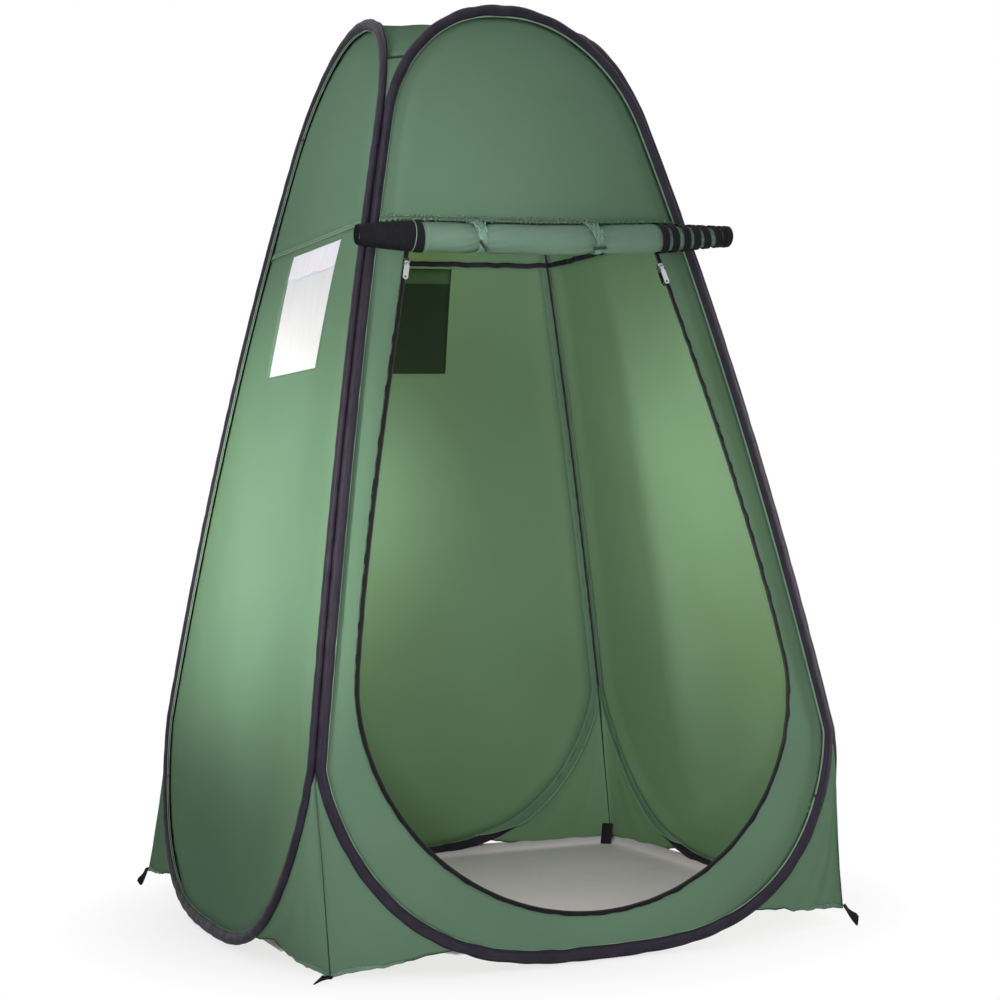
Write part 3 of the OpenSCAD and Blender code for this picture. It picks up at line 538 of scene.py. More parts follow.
def sleeve_points(seed):
    """A band of binding tape folded round the wire, its lips closed on the panel's edge."""
    turns = np.linspace(-pi + SLIT, pi - SLIT, 21)
    run = np.linspace(0, 2 * pi, len(HOOP), endpoint=False)[:, None]
    slack = np.interp(HOOP[:, 2], [SLEEVE_R, SLEEVE_END_R], [SLACK_SIDE, SLACK_END])[:, None]
    crease = sum(np.sin(k * run + m * turns + p) for k, m, p in crease_waves(seed)) / 3.2
    radius = HOOP[:, 2:3] * (1 + slack * (0.075 * crease - 0.03 * np.abs(crease)))
    lip = np.clip((np.abs(turns) - LIP_FROM) / (pi - SLIT - LIP_FROM), 0, 1)
    drawn_in = np.interp(HOOP[:, 1], CROWN_BAND_Z, [1, CROWN_BAND, CROWN_BAND, 1])[:, None]
    away = radius * np.cos(turns) * drawn_in - LIP_RUN * lip - (1 - drawn_in) * radius * lip
    lift = radius * np.sin(turns) * BAND_FLAT * (1 - 0.25 * lip)
    return HOOP_POINTS[:, None] + away[..., None] * HOOP_ASIDE[:, None] + lift[..., None] * HOOP_OUT[:, None]


def crease_waves(seed):
    draw = np.random.default_rng(seed)
    slants = [-2, -1.4, -0.7, 0.7, 1.4, 2]
    return [(int(draw.integers(25, 120)), float(draw.choice(slants)), draw.uniform(0, 6.3))
            for _ in range(10)]


def hoop_length():
    return float(np.linalg.norm(np.roll(HOOP_POINTS, -1, 0) - HOOP_POINTS, axis=1).sum())


BAND_W = 2 * (pi - SLIT) * SLEEVE_R


def sleeve(name):
    points = turned(sleeve_points(20 + len(name)), TURNS[name])
    cloth(f"sleeve_{name}_band", points, BINDING, f"sleeve_{name}", "black_binding",
          (BAND_W, hoop_length()), "stretched", [f"hoop_wire_{name}"], BAND_T, closed_rows=True)
    # Two seam lines along the sleeve's lips, drawn pale: a painted highlight where the cloth's edge catches
    # light.
    inset = -HOOP[:, 2:3] - LIP_RUN
    for side, label in ((1, "outer"), (-1, "inner")):
        line = HOOP_POINTS + inset * HOOP_ASIDE + side * 0.0016 * HOOP_OUT
        tube_piece(f"sleeve_{name}_{label}_seam", turned(line, TURNS[name]), 0.0009, 6, PALE_THREAD_AND_EDGE_HIGHLIGHT,
                   closed=True)


FACING_RUN, FACING_W, FACING_TAPER = 0.006, 0.026, 0.05
HEM_Z = 0.030
SIDE_RUN = (JOIN_LOW + 0.004, JOIN_TOP - 0.004)


def facing(name):
    """The panel's own cloth carried on, flat, over the inside of the sleeve, down to the gussets' hems."""
    used = np.flatnonzero(HOOP[:, 1] > HEM_Z)
    z, r = HOOP[used, 1], HOOP[used, 2:3]
    depth = facing_depth(r)
    beside_next = np.clip(np.minimum(z - JOIN_LOW + 0.05, JOIN_TOP + 0.05 - z) / 0.04, 0, 1)[:, None]
    end = 0.95 * r + (CORNER_INSET - depth - 0.95 * r) * beside_next
    start = -r - FACING_RUN
    end = start + (end - start) * np.clip((z[:, None] - HEM_Z) / FACING_TAPER + 0.03, 0, 1)
    away = start + (end - start) * np.linspace(0, 1, 12)
    lifted = HOOP_POINTS[used, None] + away[..., None] * HOOP_ASIDE[used, None]
    flat = on_wall(lifted[..., 0], lifted[..., 2], 0.0007, name, DOOR_EDGE if name == "front" else None)
    lifted = turned(lifted - depth[..., None] * HOOP_OUT[used, None], TURNS[name])
    share = np.clip((away - start) / (FACING_RUN + 0.002), 0, 1)
    points = flat + smooth(share)[..., None] * (lifted - flat)
    cloth(f"panel_facing_{name}", points, GREEN, None, "green_fabric", (FACING_W, hoop_length() * 0.9),
          "stretched", [f"hoop_wire_{name}"], 0.0006)
    # Pale tubes on the facings' low edges: a painted highlight on the cloth's edge.
    low = z < JOIN_LOW
    for label, part in (("a", low & (HOOP[used, 0] > 0)), ("b", low & (HOOP[used, 0] < 0))):
        tube_piece(f"panel_facing_{name}_edge_{label}", points[part, -1], 0.0010, 6, PALE_THREAD_AND_EDGE_HIGHLIGHT)


def corner_seam(corner):
    """Inside a corner the two walls' cloth meets in a seam that is bound in black."""
    z = np.linspace(*SIDE_RUN, 90)
    apex = wall(z) - facing_depth(SLEEVE_R) - 0.0012
    line = np.stack([-apex, -apex, z], -1)
    line = line + 0.0006 * np.stack([ripples(z, 4, 60, 200, k) for k in range(3)], -1)
    tube_piece(f"corner_seam_{corner}_binding", turned(line, CORNERS[corner]), 0.0032, 7, BINDING)


# Wall panels
def panel_rows(middle_z, end_z, extra=(), side_step=0.02, round_count=56):
    """Along a panel's edge: one side, the round end beyond middle_z, and the other side."""
    count = max(2, int(abs(end_z - middle_z) / side_step) + 1)
    side = np.unique(np.concatenate([np.linspace(end_z, middle_z, count), extra]))
    if end_z > middle_z:
        side = side[::-1]
    angles = np.linspace(0, pi, round_count + 2)[1:-1]
    return side, angles


def panel_grid(middle_z, end_z, inner_half, inner_reach, columns, extra=(), knots=None):
    """Points in X and Z from an inner line out to the sleeve, and the height of each row on the sides."""
    side, angles = panel_rows(middle_z, end_z, extra)
    way = 1 if end_z < middle_z else -1
    lean = np.where(angles < pi / 2, angles, pi - angles) * way
    heading = np.stack([-np.cos(angles), way * np.sin(angles)], -1)
    middle = np.array([0, middle_z])
    outer = [np.stack([-panel_half(side), side], -1),
             middle + heading * panel_reach(lean, middle_z)[:, None],
             np.stack([panel_half(side[::-1]), side[::-1]], -1)]
    inner = [np.stack([-inner_half(side), side], -1),
             middle + heading * inner_reach(lean)[:, None],
             np.stack([inner_half(side[::-1]), side[::-1]], -1)]
    outer, inner = np.concatenate(outer), np.concatenate(inner)
    share = np.tile(np.linspace(0, 1, columns), (len(outer), 1))
    if knots:
        share = knotted_share(side, len(angles), columns, knots, middle_z)
    points = inner[:, None] + share[..., None] * (outer - inner)[:, None]
    heights = np.concatenate([side, np.full(len(angles), np.nan), side[::-1]])
    return points, heights


def knotted_share(side, rounds, columns, knots, middle_z):
    """Column places with one column on the window's edge: knots are its reach to the left and right."""
    first = columns // 2
    half = np.concatenate([panel_half(side), np.full(rounds, panel_half(middle_z)), panel_half(side[::-1])])
    half_rounds = np.linspace(knots[0], knots[1], rounds)
    edge = np.concatenate([np.full(len(side), knots[0]), half_rounds, np.full(len(side), knots[1])]) / half
    low = edge[:, None] * np.linspace(0, 1, first + 1)
    high = edge[:, None] + (1 - edge[:, None]) * np.linspace(0, 1, columns - first)[1:]
    return np.concatenate([low, high], 1)


WINDOW_W, WINDOW_TOP = 0.330, 1.4124
WINDOW_LOW = {"left": WINDOW_TOP - 0.262, "rear": WINDOW_TOP - 0.226}
WINDOW_SHIFT = {"left": 0.045, "rear": 0.074}
DOOR_WIDE_Z, DOOR_LOW, DOOR_TOP, DOOR_HALF = 0.520, 0.092, 1.404, 0.45228
DOOR_TAPER, DOOR_STRAIGHT, TAPER_POWER, ZIP_W = 0.128, 1.150, 1.22, 0.010
TAPER_RISE = DOOR_STRAIGHT - DOOR_WIDE_Z


def door_half(z, beyond=0.0):
    curved = DOOR_HALF - DOOR_TAPER * (np.clip(z - DOOR_WIDE_Z, 0, None) / TAPER_RISE) ** TAPER_POWER
    slope = TAPER_POWER * DOOR_TAPER / TAPER_RISE
    return beyond + np.where(z > DOOR_STRAIGHT, DOOR_HALF - DOOR_TAPER - slope * (z - DOOR_STRAIGHT), curved)


def door_reach(angle, beyond=0.0):
    a, b = DOOR_HALF + beyond, DOOR_WIDE_Z - DOOR_LOW + beyond
    return 1 / np.sqrt((np.cos(angle) / a) ** 2 + (np.sin(angle) / b) ** 2)


def door_line(beyond=0.0, step=0.006):
    """The doorway's edge from its upper left end, round below, to its upper right end."""
    side = np.linspace(DOOR_TOP, DOOR_WIDE_Z, 200)
    angles = np.linspace(0, pi, 300)[1:-1]
    lean = np.where(angles < pi / 2, angles, pi - angles)
    below = np.stack([-np.cos(angles), -np.sin(angles)], -1) * door_reach(-lean, beyond)[:, None]
    line = np.concatenate([np.stack([-door_half(side, beyond), side], -1), below + [0, DOOR_WIDE_Z],
                           np.stack([door_half(side[::-1], beyond), side[::-1]], -1)])
    return resampled(line, int(run_length(line) / step))


DOOR_EDGE = door_line(ZIP_W)


UPPER_MIDDLE, LOWER_MIDDLE, UPPER_COLUMNS, LOWER_COLUMNS, DOOR_COLUMNS = 1.50, 0.52, 24, 26, 12


def nothing(z):
    return 0 * z


def panel(node, name, grid, heights, hole=None, inner=None):
    """A wall panel as cloth. hole is the window's (low, top, column)."""
    x, z = grid[..., 0], grid[..., 1]
    points = on_wall(x, z, CLOTH_T / 2, name, inner)

    def keep(i, j):
        if hole is None or np.isnan(heights[i]) or np.isnan(heights[i + 1]):
            return True
        low, top = min(heights[i], heights[i + 1]), max(heights[i], heights[i + 1])
        return not (low >= hole[0] - 1e-6 and top <= hole[1] + 1e-6 and j < hole[2])

    area = grid_area(points)
    size = (float(np.ptp(x)), float(np.ptp(z)))
    if inner is not None:
        length = run_length(inner)
        size = (area / length, length)
    area = min(area, size[0] * size[1])
    if hole:
        area -= WINDOW_W * (WINDOW_TOP - WINDOW_LOW[name])
    return cloth(f"{node}_cloth", points, GREEN, node, "green_fabric", size, "stretched",
                 [f"hoop_wire_{name}"], area=area, keep=keep)


def upper_panel(name):
    grid, heights = panel_grid(UPPER_MIDDLE, SEAM_Z, nothing, nothing, UPPER_COLUMNS)
    panel(f"upper_panel_{name}", name, grid, heights)


def plain_panel(name):
    """A lower wall panel, with its window if it has one."""
    extra, knots, hole = (), None, None
    if name in WINDOW_LOW:
        extra = (WINDOW_LOW[name], WINDOW_TOP)
        knots = (WINDOW_W / 2 - WINDOW_SHIFT[name], WINDOW_W / 2 + WINDOW_SHIFT[name])
        hole = (WINDOW_LOW[name], WINDOW_TOP, LOWER_COLUMNS // 2)
    grid, heights = panel_grid(LOWER_MIDDLE, SEAM_Z, nothing, nothing, LOWER_COLUMNS, extra, knots)
    panel(f"lower_panel_{name}", name, grid, heights, hole)


def door_panel():
    """The cloth round the doorway, sewn to the zip and to the hoop's sleeve."""
    beyond = ZIP_W - 0.001
    grid, heights = panel_grid(DOOR_WIDE_Z, SEAM_Z, lambda z: door_half(z, beyond),
                               lambda a: door_reach(a, beyond), DOOR_COLUMNS, (DOOR_TOP,))
    panel("lower_panel_front", "front", grid, heights, inner=DOOR_EDGE)
    x = np.linspace(-1, 1, 60)[None] * door_half(np.array([DOOR_TOP, SEAM_Z]), beyond)[:, None]
    z = np.repeat([[DOOR_TOP], [SEAM_Z]], 60, 1)
    made = cloth("lower_panel_front_head", on_wall(x, z, CLOTH_T / 2, "front"), GREEN, None, "green_fabric",
                 (0.66, SEAM_Z - DOOR_TOP), "stretched", ["hoop_wire_front"])
    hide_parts("lower_panel_front")


# Seams between the upper and lower panels
STRAP_W, STRAP_T, MESH_DEPTH, MESH_T, MESH_MARGIN = 0.011, 0.0015, 0.0015, 0.0008, 0.007
WELT_HELD, WELT_LOOSE, WELT_OUT = (0, -0.349, 1.4395), (0, -0.376, 1.4320), np.array([0, -0.8, 0.6])
FRONT_WELT = {"height": 0.014, "crumple": 1.6, "rise": 0.0055, "forward": 0.042}
PLAIN_WELT = {"height": 0.009, "crumple": 0.6}


def seam_welt(name, height, crumple, rise=0.0, forward=0.0):
    """The folded seam allowance on the outside, puckered along its two rows of stitches.

    rise moves it up, and forward lays its lower edge out, onto the rolled door."""
    half = float(panel_half(SEAM_Z)) + 0.003
    x = np.linspace(-half, half, 420)[None]
    u = np.linspace(-1, 1, 13)[:, None]
    gather = ripples(x, 6, 250, 900, 5 + len(name))
    fold = ripples(x + 0.004 * u, 5, 400, 1500, 9 + len(name))
    low = np.clip((1 - u) / 2, 0, 1)
    z = SEAM_Z + rise + height / 2 * u * (1 + 0.2 * crumple * gather) + 0.0006 * crumple * fold
    z = z + (roll_lift(x) * low if name == "front" else 0)
    creased = 0.0006 * gather * (1 - np.abs(u)) + 0.0004 * np.abs(fold)
    stand = np.maximum(0.0004 + 0.0011 * (1 - u**2) + crumple * creased, 0.0003)
    swollen = swell(x + 0 * u, z, seed=len(name)) - edge_dip(z, half - np.abs(x))
    forward = forward * np.clip((half - np.abs(x)) / 0.05, 0, 1) ** 0.7
    points = np.stack([x + 0 * u, -wall(z) - stand - swollen - forward * low**1.3, z], -1)
    body = None if name == "front" else "tent"
    size = (2 * half, height * 1.25 + forward.max())
    made = cloth(f"seam_welt_{name}", turned(points, TURNS[name]), GREEN, None, "green_fabric", size,
                 "stretched", [f"upper_panel_{name}"], 0.0006, body)
    out = np.tile(turned(WELT_OUT, TURNS[name]), (x.size, 1))
    rows = [(turned(points[k] + 0.0007 * WELT_OUT, TURNS[name]), out) for k in (2, 10)]
    sewn = stitches(f"seam_stitches_{name}", rows, THREAD, body, "green_fabric", 0.0055, 0.0038,
                    0.0011 + 0.02 * forward.max())
    if name == "front":
        for soft in (made, sewn):
            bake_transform(soft)


def seam_strap(name):
    """The tape over the seam inside, from corner to corner. Its ends climb over the sleeves' facings."""
    half = float(wall(SEAM_Z)) - facing_depth(SLEEVE_R) - 0.001
    x = np.linspace(-half, half, 160)[None]
    u = np.linspace(-1, 1, 5)[:, None]
    z = SEAM_Z + STRAP_W / 2 * u + 0.0008 * ripples(x, 4, 40, 160, 31 + len(name))
    y = MESH_DEPTH + STRAP_T / 2 - wall(z) - swell(x + 0 * u, z, seed=len(name))
    y = y + 0.0006 * ripples(x, 4, 90, 300, 3)
    y = y + edge_dip(z, np.maximum(panel_half(z, SLEEVE_SIDE) - np.abs(x), 0))
    points = turned(np.stack([x + 0 * u, y, z], -1), TURNS[name])
    cloth(f"seam_strap_{name}_tape", points, BINDING, f"seam_strap_{name}", "black_binding",
          (2 * half, STRAP_W), "stretched", [f"upper_panel_{name}"], 0.0010)


# Windows
FINE_STITCH = {"length": 0.0045, "width": 0.0009}


def wall_patch(name, x0, x1, z0, z1, depth, step=0.011):
    x = np.linspace(x0, x1, max(2, int((x1 - x0) / step)))
    z = np.linspace(z0, z1, max(2, int((z1 - z0) / step)))
    x, z = np.meshgrid(x, z)
    return on_wall(x, z, depth, name)


def window_mesh(name):
    x0, x1 = window_sides(name, MESH_MARGIN)
    low, high = WINDOW_LOW[name] - MESH_MARGIN, WINDOW_TOP + MESH_MARGIN
    points = wall_patch(name, x0, x1, low, high, MESH_DEPTH + MESH_T / 2, 0.007)
    cloth(f"window_mesh_{name}_net", points, MESH, f"window_mesh_{name}", "white_mesh",
          (x1 - x0, high - low), "stretched", [f"lower_panel_{name}"], 0.0005)
    window_hem(name)
    if name == "left":
        doubled_mesh(name)


def doubled_mesh(name):
    """The upper strip of the window, where a second layer lies on the mesh and ends in a loose wavy edge."""
    x0, x1 = window_sides(name, 0.004)
    x = np.linspace(x0, x1, 120)[None]
    u = np.linspace(0, 1, 14)[:, None]
    low = WINDOW_TOP - 0.056 + 0.004 * ripples(x, 4, 20, 90, 8)
    z = WINDOW_TOP + 0.003 + (low - WINDOW_TOP - 0.003) * u
    points = on_wall(x + 0 * u, z, MESH_DEPTH - 0.0003 - 0.0004 * u * (1 + ripples(x, 4, 60, 200, 6)), name)
    cloth("window_mesh_left_strip", points, MESH_DOUBLE, None, "white_mesh", (x1 - x0, 0.06), "hung",
          ["window_mesh_left_net"], 0.0004)


def window_sides(name, margin=0.0):
    half = WINDOW_W / 2 + margin
    return WINDOW_SHIFT[name] - half, WINDOW_SHIFT[name] + half


def window_hem(name):
    """The turned-back edge of the panel round the window, with its stitches."""
    (x0, x1), low, count = window_sides(name), WINDOW_LOW[name], 60
    corners = [[x0, low], [x1, low], [x1, WINDOW_TOP], [x0, WINDOW_TOP], [x0, low]]
    ring = np.concatenate([np.linspace(a, b, count)[:-1] for a, b in zip(corners, corners[1:])])
    line = on_wall(ring[:, 0], ring[:, 1], 0.0004, name)
    tube_piece(f"window_hem_{name}", line, 0.0013, 6, GREEN, closed=True)
    middle = [WINDOW_SHIFT[name], (low + WINDOW_TOP) / 2]
    grown = (ring - middle) * [1.045, 1.055] + middle
    sewn = on_wall(grown[:, 0], grown[:, 1], -0.0001, name)
    out = np.tile(turned([0, -1.0, 0.2], TURNS[name]), (len(sewn), 1))
    stitches(f"window_stitches_{name}", [(sewn, out)], PALE_THREAD_AND_EDGE_HIGHLIGHT, slot="green_fabric", **FINE_STITCH)


FLAP_DEPTH, FLAP_T, FLAP_TOP = 0.0026, 0.0012, 1.4188


def rear_flap():
    """The closed flap of the rear window, hung inside from its upper edge, with a hem on three sides."""
    x0, x1 = window_sides("rear", MESH_MARGIN)
    low = WINDOW_LOW["rear"] - MESH_MARGIN
    x, z = np.meshgrid(np.linspace(x0, x1, 60), np.linspace(low, FLAP_TOP, 48))
    loose = ((FLAP_TOP - z) / (FLAP_TOP - low)) ** 2
    points = on_wall(x, z, FLAP_DEPTH + FLAP_T / 2 + 0.0012 * loose * (1 + ripples(x, 4, 20, 70, 4)), "rear")
    made = cloth("window_flap_rear_cloth", points, DARK_GREEN, "window_flap_rear", "dark_green_fabric",
                 (x1 - x0, FLAP_TOP - low), "hung", ["seam_strap_rear"], 0.0010, body="rear_flap")
    # The flap's top strip, in the lighter copy of its cloth: painted light.
    strip = wall_patch("rear", x0, x1, FLAP_TOP - 0.034, FLAP_TOP - 0.001, FLAP_DEPTH + FLAP_T + 0.0008)
    cloth("window_flap_rear_strip", strip, DARK_GREEN_PAINTED_LIGHT, None, "dark_green_fabric", (x1 - x0, 0.033),
          "hung", [made], 0.0006, body="rear_flap")
    ring = np.concatenate([np.linspace([x0, FLAP_TOP], [x0, low], 30)[:-1],
                           np.linspace([x0, low], [x1, low], 40)[:-1],
                           np.linspace([x1, low], [x1, FLAP_TOP], 30)])
    line = on_wall(ring[:, 0], ring[:, 1], FLAP_DEPTH + FLAP_T, "rear")
    tube_piece("window_flap_rear_hem", line, 0.0016, 6, DARK_GREEN, "rear_flap")


FLAP_ROLL_R, FLAP_TIE_W = 0.015, 0.012
FLAP_TIES = (-WINDOW_W / 4, WINDOW_W / 4)
FLAP_ROLL_Z = WINDOW_TOP - FLAP_ROLL_R
FLAP_ROLL_Y = float(-wall(FLAP_ROLL_Z) + MESH_DEPTH + MESH_T
                    + (FLAP_ROLL_R + CLEAR) / cos(atan(-wall_slope(FLAP_ROLL_Z))))


def at_flap_roll(points):
    middle = WINDOW_SHIFT["left"]
    y = FLAP_ROLL_Y - float(swell(np.array(middle), np.array(FLAP_ROLL_Z), seed=4))
    return turned(points + np.array([middle, y, FLAP_ROLL_Z]), TURNS["left"])


def wound(x, radius, core, turns, per_turn):
    """A sheet wound on itself along X. radius(x, angle) is its outside."""
    a = np.linspace(0, 2 * pi * turns, turns * per_turn + 1)
    share = (a / (2 * pi * turns))[None]
    outside = radius(x[:, None], a[None])
    r = core + (outside - core) * share
    return round_x(x[:, None], r, a)


def left_flap():
    x = np.linspace(-WINDOW_W / 2, WINDOW_W / 2, 90)

    def radius(x, a):
        drawn = sum(0.0021 * np.exp(-((x - t) / 0.012) ** 2) for t in FLAP_TIES)
        return FLAP_ROLL_R - 0.0008 - drawn + 0.0004 * np.sin(5 * a + 40 * x) * np.sin(33 * x)

    points = wound(x, radius, 0.004, 4, 24)
    length = run_length(points[45])
    cloth("window_flap_left_roll", at_flap_roll(points), DARK_GREEN, "window_flap_left", "dark_green_fabric",
          (WINDOW_W, length), "folded", ["window_mesh_left"], 0.0008, body="left_flap")
    a = np.linspace(0, 2 * pi, 40, endpoint=False)[None]
    u = np.linspace(-FLAP_TIE_W / 2, FLAP_TIE_W / 2, 5)[:, None]
    r = FLAP_ROLL_R - 0.0006 + 0.0003 * np.cos(u * 900)
    for k, t in enumerate(FLAP_TIES):
        cloth(f"window_flap_tie_{k}", at_flap_roll(round_x(t + u, r, a)), WEBBING, "window_flap_ties",
              "black_webbing", (FLAP_TIE_W, 2 * pi * FLAP_ROLL_R), "stretched", ["window_flap_left_roll"],
              0.0010, body="left_flap", closed_cols=True)


# Corner gussets, roof and the ground sheet of painted shade
TIP_IN = {"front_left": 0.090, "front_right": 0.052, "rear_right": 0.022, "rear_left": 0.012}
TIP_LIFT = {"front_left": 0.006, "front_right": 0.034, "rear_right": 0.018, "rear_left": 0.036}
HEM_END = {"front_left": 69, "front_right": 66, "rear_right": 73, "rear_left": 64}
GUSSET_FROM, CROWN_GUSSET, CROWN_ROOF = 13, (9, 29), 31
HEM_WAVE, HEM_WAVES, HEM_CRUMPLE, HEM_LIFT, HEM_DROP = 0.0016, 1.5, 0.0022, 0.015, 0.016
GUSSET_SLACK, GUSSET_PULL, GUSSET_SEAM = 0.006, 0.0016, 0.004
CORNER_OUT = np.array([-1, -1, 0]) / sqrt(2)


def on_front(place, side=1):
    return np.stack([side * place[..., 0], -wall(place[..., 1]), place[..., 1]], -1)


def mirrored_corner(points):
    """The other half of the front left corner."""
    return points[..., [1, 0, 2]]


def beside(place, points, ahead, target):
    """Points just under a sleeve, on the side that faces a target."""
    along = unit(ahead - points)
    away = target - points
    away = unit(away - (away * along).sum(-1, keepdims=True) * along)
    return points + (place[..., 2:3] + TUCK) * away


def base_gusset(corner):
    """A corner sheet from both hoops to its middle seam, drawn out to the tip, with a slack crumpled hem."""
    seed = len(corner) + ord(corner[0])
    reach = FOOT_HALF - TIP_IN[corner]
    tip = np.array([-reach, -reach, TIP_LIFT[corner]])
    s = np.linspace(0, 1, 44)
    angles = GUSSET_FROM + s * (HEM_END[corner] - GUSSET_FROM)
    place = base_place(angles)
    right, ahead = on_front(place, -1), on_front(base_place(angles + 0.5), -1)
    head = (right[0] + mirrored_corner(right[0])) / 2
    middle = head + s[:, None] * (tip - head)
    edge = beside(place, right, ahead, middle)
    t = np.linspace(0, 1, 22)
    half = edge[:, None] + t[None, :, None] * (middle - edge)[:, None]
    grid = np.concatenate([mirrored_corner(half), half[:, ::-1][:, 1:]], 1)
    t_all = np.concatenate([t, t[::-1][1:]])
    across = np.linspace(-1, 1, len(t_all))
    down, between = s[:, None], np.sin(pi * t_all)
    wave = HEM_WAVE * down**5 * np.sin(2 * pi * HEM_WAVES * t_all)
    wave = wave + HEM_CRUMPLE * down**9 * ripples(across, 5, 14, 60, seed) * between
    if corner == "front_left":
        wave = wave + HEM_LIFT * down**8 * np.exp(-((across + 0.70) / 0.16) ** 2)
    if corner == "rear_right":
        wave = wave - HEM_DROP * down**6 * between**0.7
    grid[..., 2] += wave
    slack = GUSSET_SLACK * between**0.8 * np.minimum(1, 3 * (1 - down) + 0.3)
    pull = GUSSET_PULL * down**2 * ripples(across, 5, 9, 34, seed + 1) * between
    seam = GUSSET_SEAM * np.exp(-(across / 0.05) ** 2)
    grid = grid + (slack - seam + pull)[..., None] * CORNER_OUT
    top_z = JOIN_LOW + 0.015
    top = np.array([-1, -1, 0]) * (wall(top_z) - CORNER_INSET) + [0, 0, top_z]
    grid = np.concatenate([np.tile(top, (1, grid.shape[1], 1)), grid])
    turn = CORNERS[corner]
    size = (run_length(grid[-1]), float(np.linalg.norm(tip - head)))
    node = f"base_gusset_{corner}"
    cloth(f"{node}_cloth", turned(grid, turn), GREEN, node, "green_fabric", size, "stretched",
          ["hoop_wire_front"], area=min(grid_area(grid), 0.99 * size[0] * size[1]))
    middle = grid[:, len(t) - 1]
    sewn = {"seam": turned(middle + 0.0008 * CORNER_OUT, turn),
            "inner_seam": turned(middle - 0.0008 * CORNER_OUT, turn),
            "hem": resampled(turned(grid[-1], turn), 200)}
    for label, line in sewn.items():
        tube_piece(f"{node}_{label}", line, 0.0013, 6, SEAM_DARK)
    gusset_ruffle(corner, grid[-1], turn, seed)


def gusset_ruffle(corner, line, turn, seed):
    """The hem's allowance, crumpled where it is gathered towards the tip."""
    run = resampled(line, 300)[60:240]
    along = np.linspace(-1, 1, len(run))[:, None]
    u = np.linspace(0, 1, 7)[None]
    amount = np.exp(-((np.abs(along) - 0.3) / 0.34) ** 2)
    pleat = ripples(along + 0.02 * u, 6, 40, 150, seed + 9)
    out = 0.0009 + amount * (0.0016 * np.abs(pleat) + 0.0008)
    rise = (0.004 + 0.006 * amount) * u + 0.0015 * amount * pleat * u * (1 - u)
    points = run[:, None] + out[..., None] * CORNER_OUT + (rise - 0.002)[..., None] * [0, 0, 1]
    length = run_length(run)
    # The ruffle is drawn in the darker copy of the cloth: painted shade in its folds.
    cloth(f"base_gusset_{corner}_ruffle", turned(points, turn), FOLD_SHADE_GREEN, None, "green_fabric",
          (length * 1.05, 0.0105), "gathered", [f"base_gusset_{corner}_cloth"], 0.0005)


def top_gusset(corner):
    angles = np.linspace(*CROWN_GUSSET, 18)
    place = crown_place(angles)
    right, ahead = on_front(place, -1), on_front(crown_place(angles + 0.5), -1)
    left = mirrored_corner(right)
    edge = beside(place, right, ahead, left)
    u = np.linspace(0, 1, 14)[None, :, None]
    grid = edge[:, None] + u * (mirrored_corner(edge) - edge)[:, None]
    widths = np.linalg.norm(edge - mirrored_corner(edge), axis=1)
    grid = grid - 0.05 * widths[:, None, None] * np.sin(pi * u) * CORNER_OUT
    size = (1.15 * float(widths[-1]), float(np.linalg.norm(edge[-1] - edge[0])))
    node, turn = f"top_gusset_{corner}", CORNERS[corner]
    cloth(f"{node}_cloth", turned(grid, turn), GREEN, node, "green_fabric", size, "stretched",
          ["hoop_wire_front"], area=min(grid_area(grid), size[0] * size[1]))
    top = turned(grid[-1] + 0.001 * CORNER_OUT, turn)
    tube_piece(f"{node}_piping", top, 0.0028, 8, BINDING)


ROOF_Z, ROOF_POWER = 1.888, 3.3


def roof_edge():
    angles = np.linspace(CROWN_ROOF, 90, 30)
    place = crown_place(angles)
    points, before = on_front(place), on_front(crown_place(angles - 0.5))
    right = beside(place, points, before, np.array([0, 0, ROOF_Z]))
    arc = np.concatenate([right * [-1, 1, 1], right[::-1][1:]])
    return np.concatenate([turned(arc, a) for a in (0, 90, 180, -90)])


def roof():
    edge = roof_edge()
    s = np.linspace(0, 1, 20)[:, None]
    around = np.arctan2(edge[:, 1], edge[:, 0])[None]
    z = ROOF_Z + (edge[:, 2] - ROOF_Z)[None] * s**ROOF_POWER
    z = z + 0.0022 * s * (1 - s) * 4 * (np.sin(12 * around + 1) + 0.6 * np.sin(21 * around + 5 * s))
    grid = np.stack([edge[None, :, 0] * s, edge[None, :, 1] * s, z - CLOTH_T / 2], -1)
    area = grid_area(np.concatenate([grid, grid[:, :1]], 1))
    side = float(np.ptp(edge[:, 0])) * 1.12
    cloth("roof_panel_cloth", grid, GREEN, "roof_panel", "green_fabric", (side, side), "stretched",
          ["hoop_wire_front", "hoop_wire_rear"], area=min(area, 0.99 * side * side), closed_cols=True)


# The sheet's outline follows the shaded ground: drawn in at the front, reaching out at the rear right.
SHEET_SIDE = {"left": 0.530, "front": 0.440, "right": 0.606, "rear": 0.610}
SHEET_CORNER = {"front_left": 0.30, "front_right": 0.40, "rear_right": 0.595, "rear_left": 0.46}
SHEET_STRAIGHT, SHEET_TURN_UP = 0.238, 0.022


def sheet_outline():
    left, front, right, rear = SHEET_SIDE.values()
    fl, fr, rr, rl = SHEET_CORNER.values()
    b = SHEET_STRAIGHT
    return np.array([(-left, -b), (-fl, -fl), (-b, -front), (b, -front), (fr, -fr), (right, -b),
                     (right, b), (rr, rr), (b, rear), (-b, rear), (-rl, rl), (-left, b)])


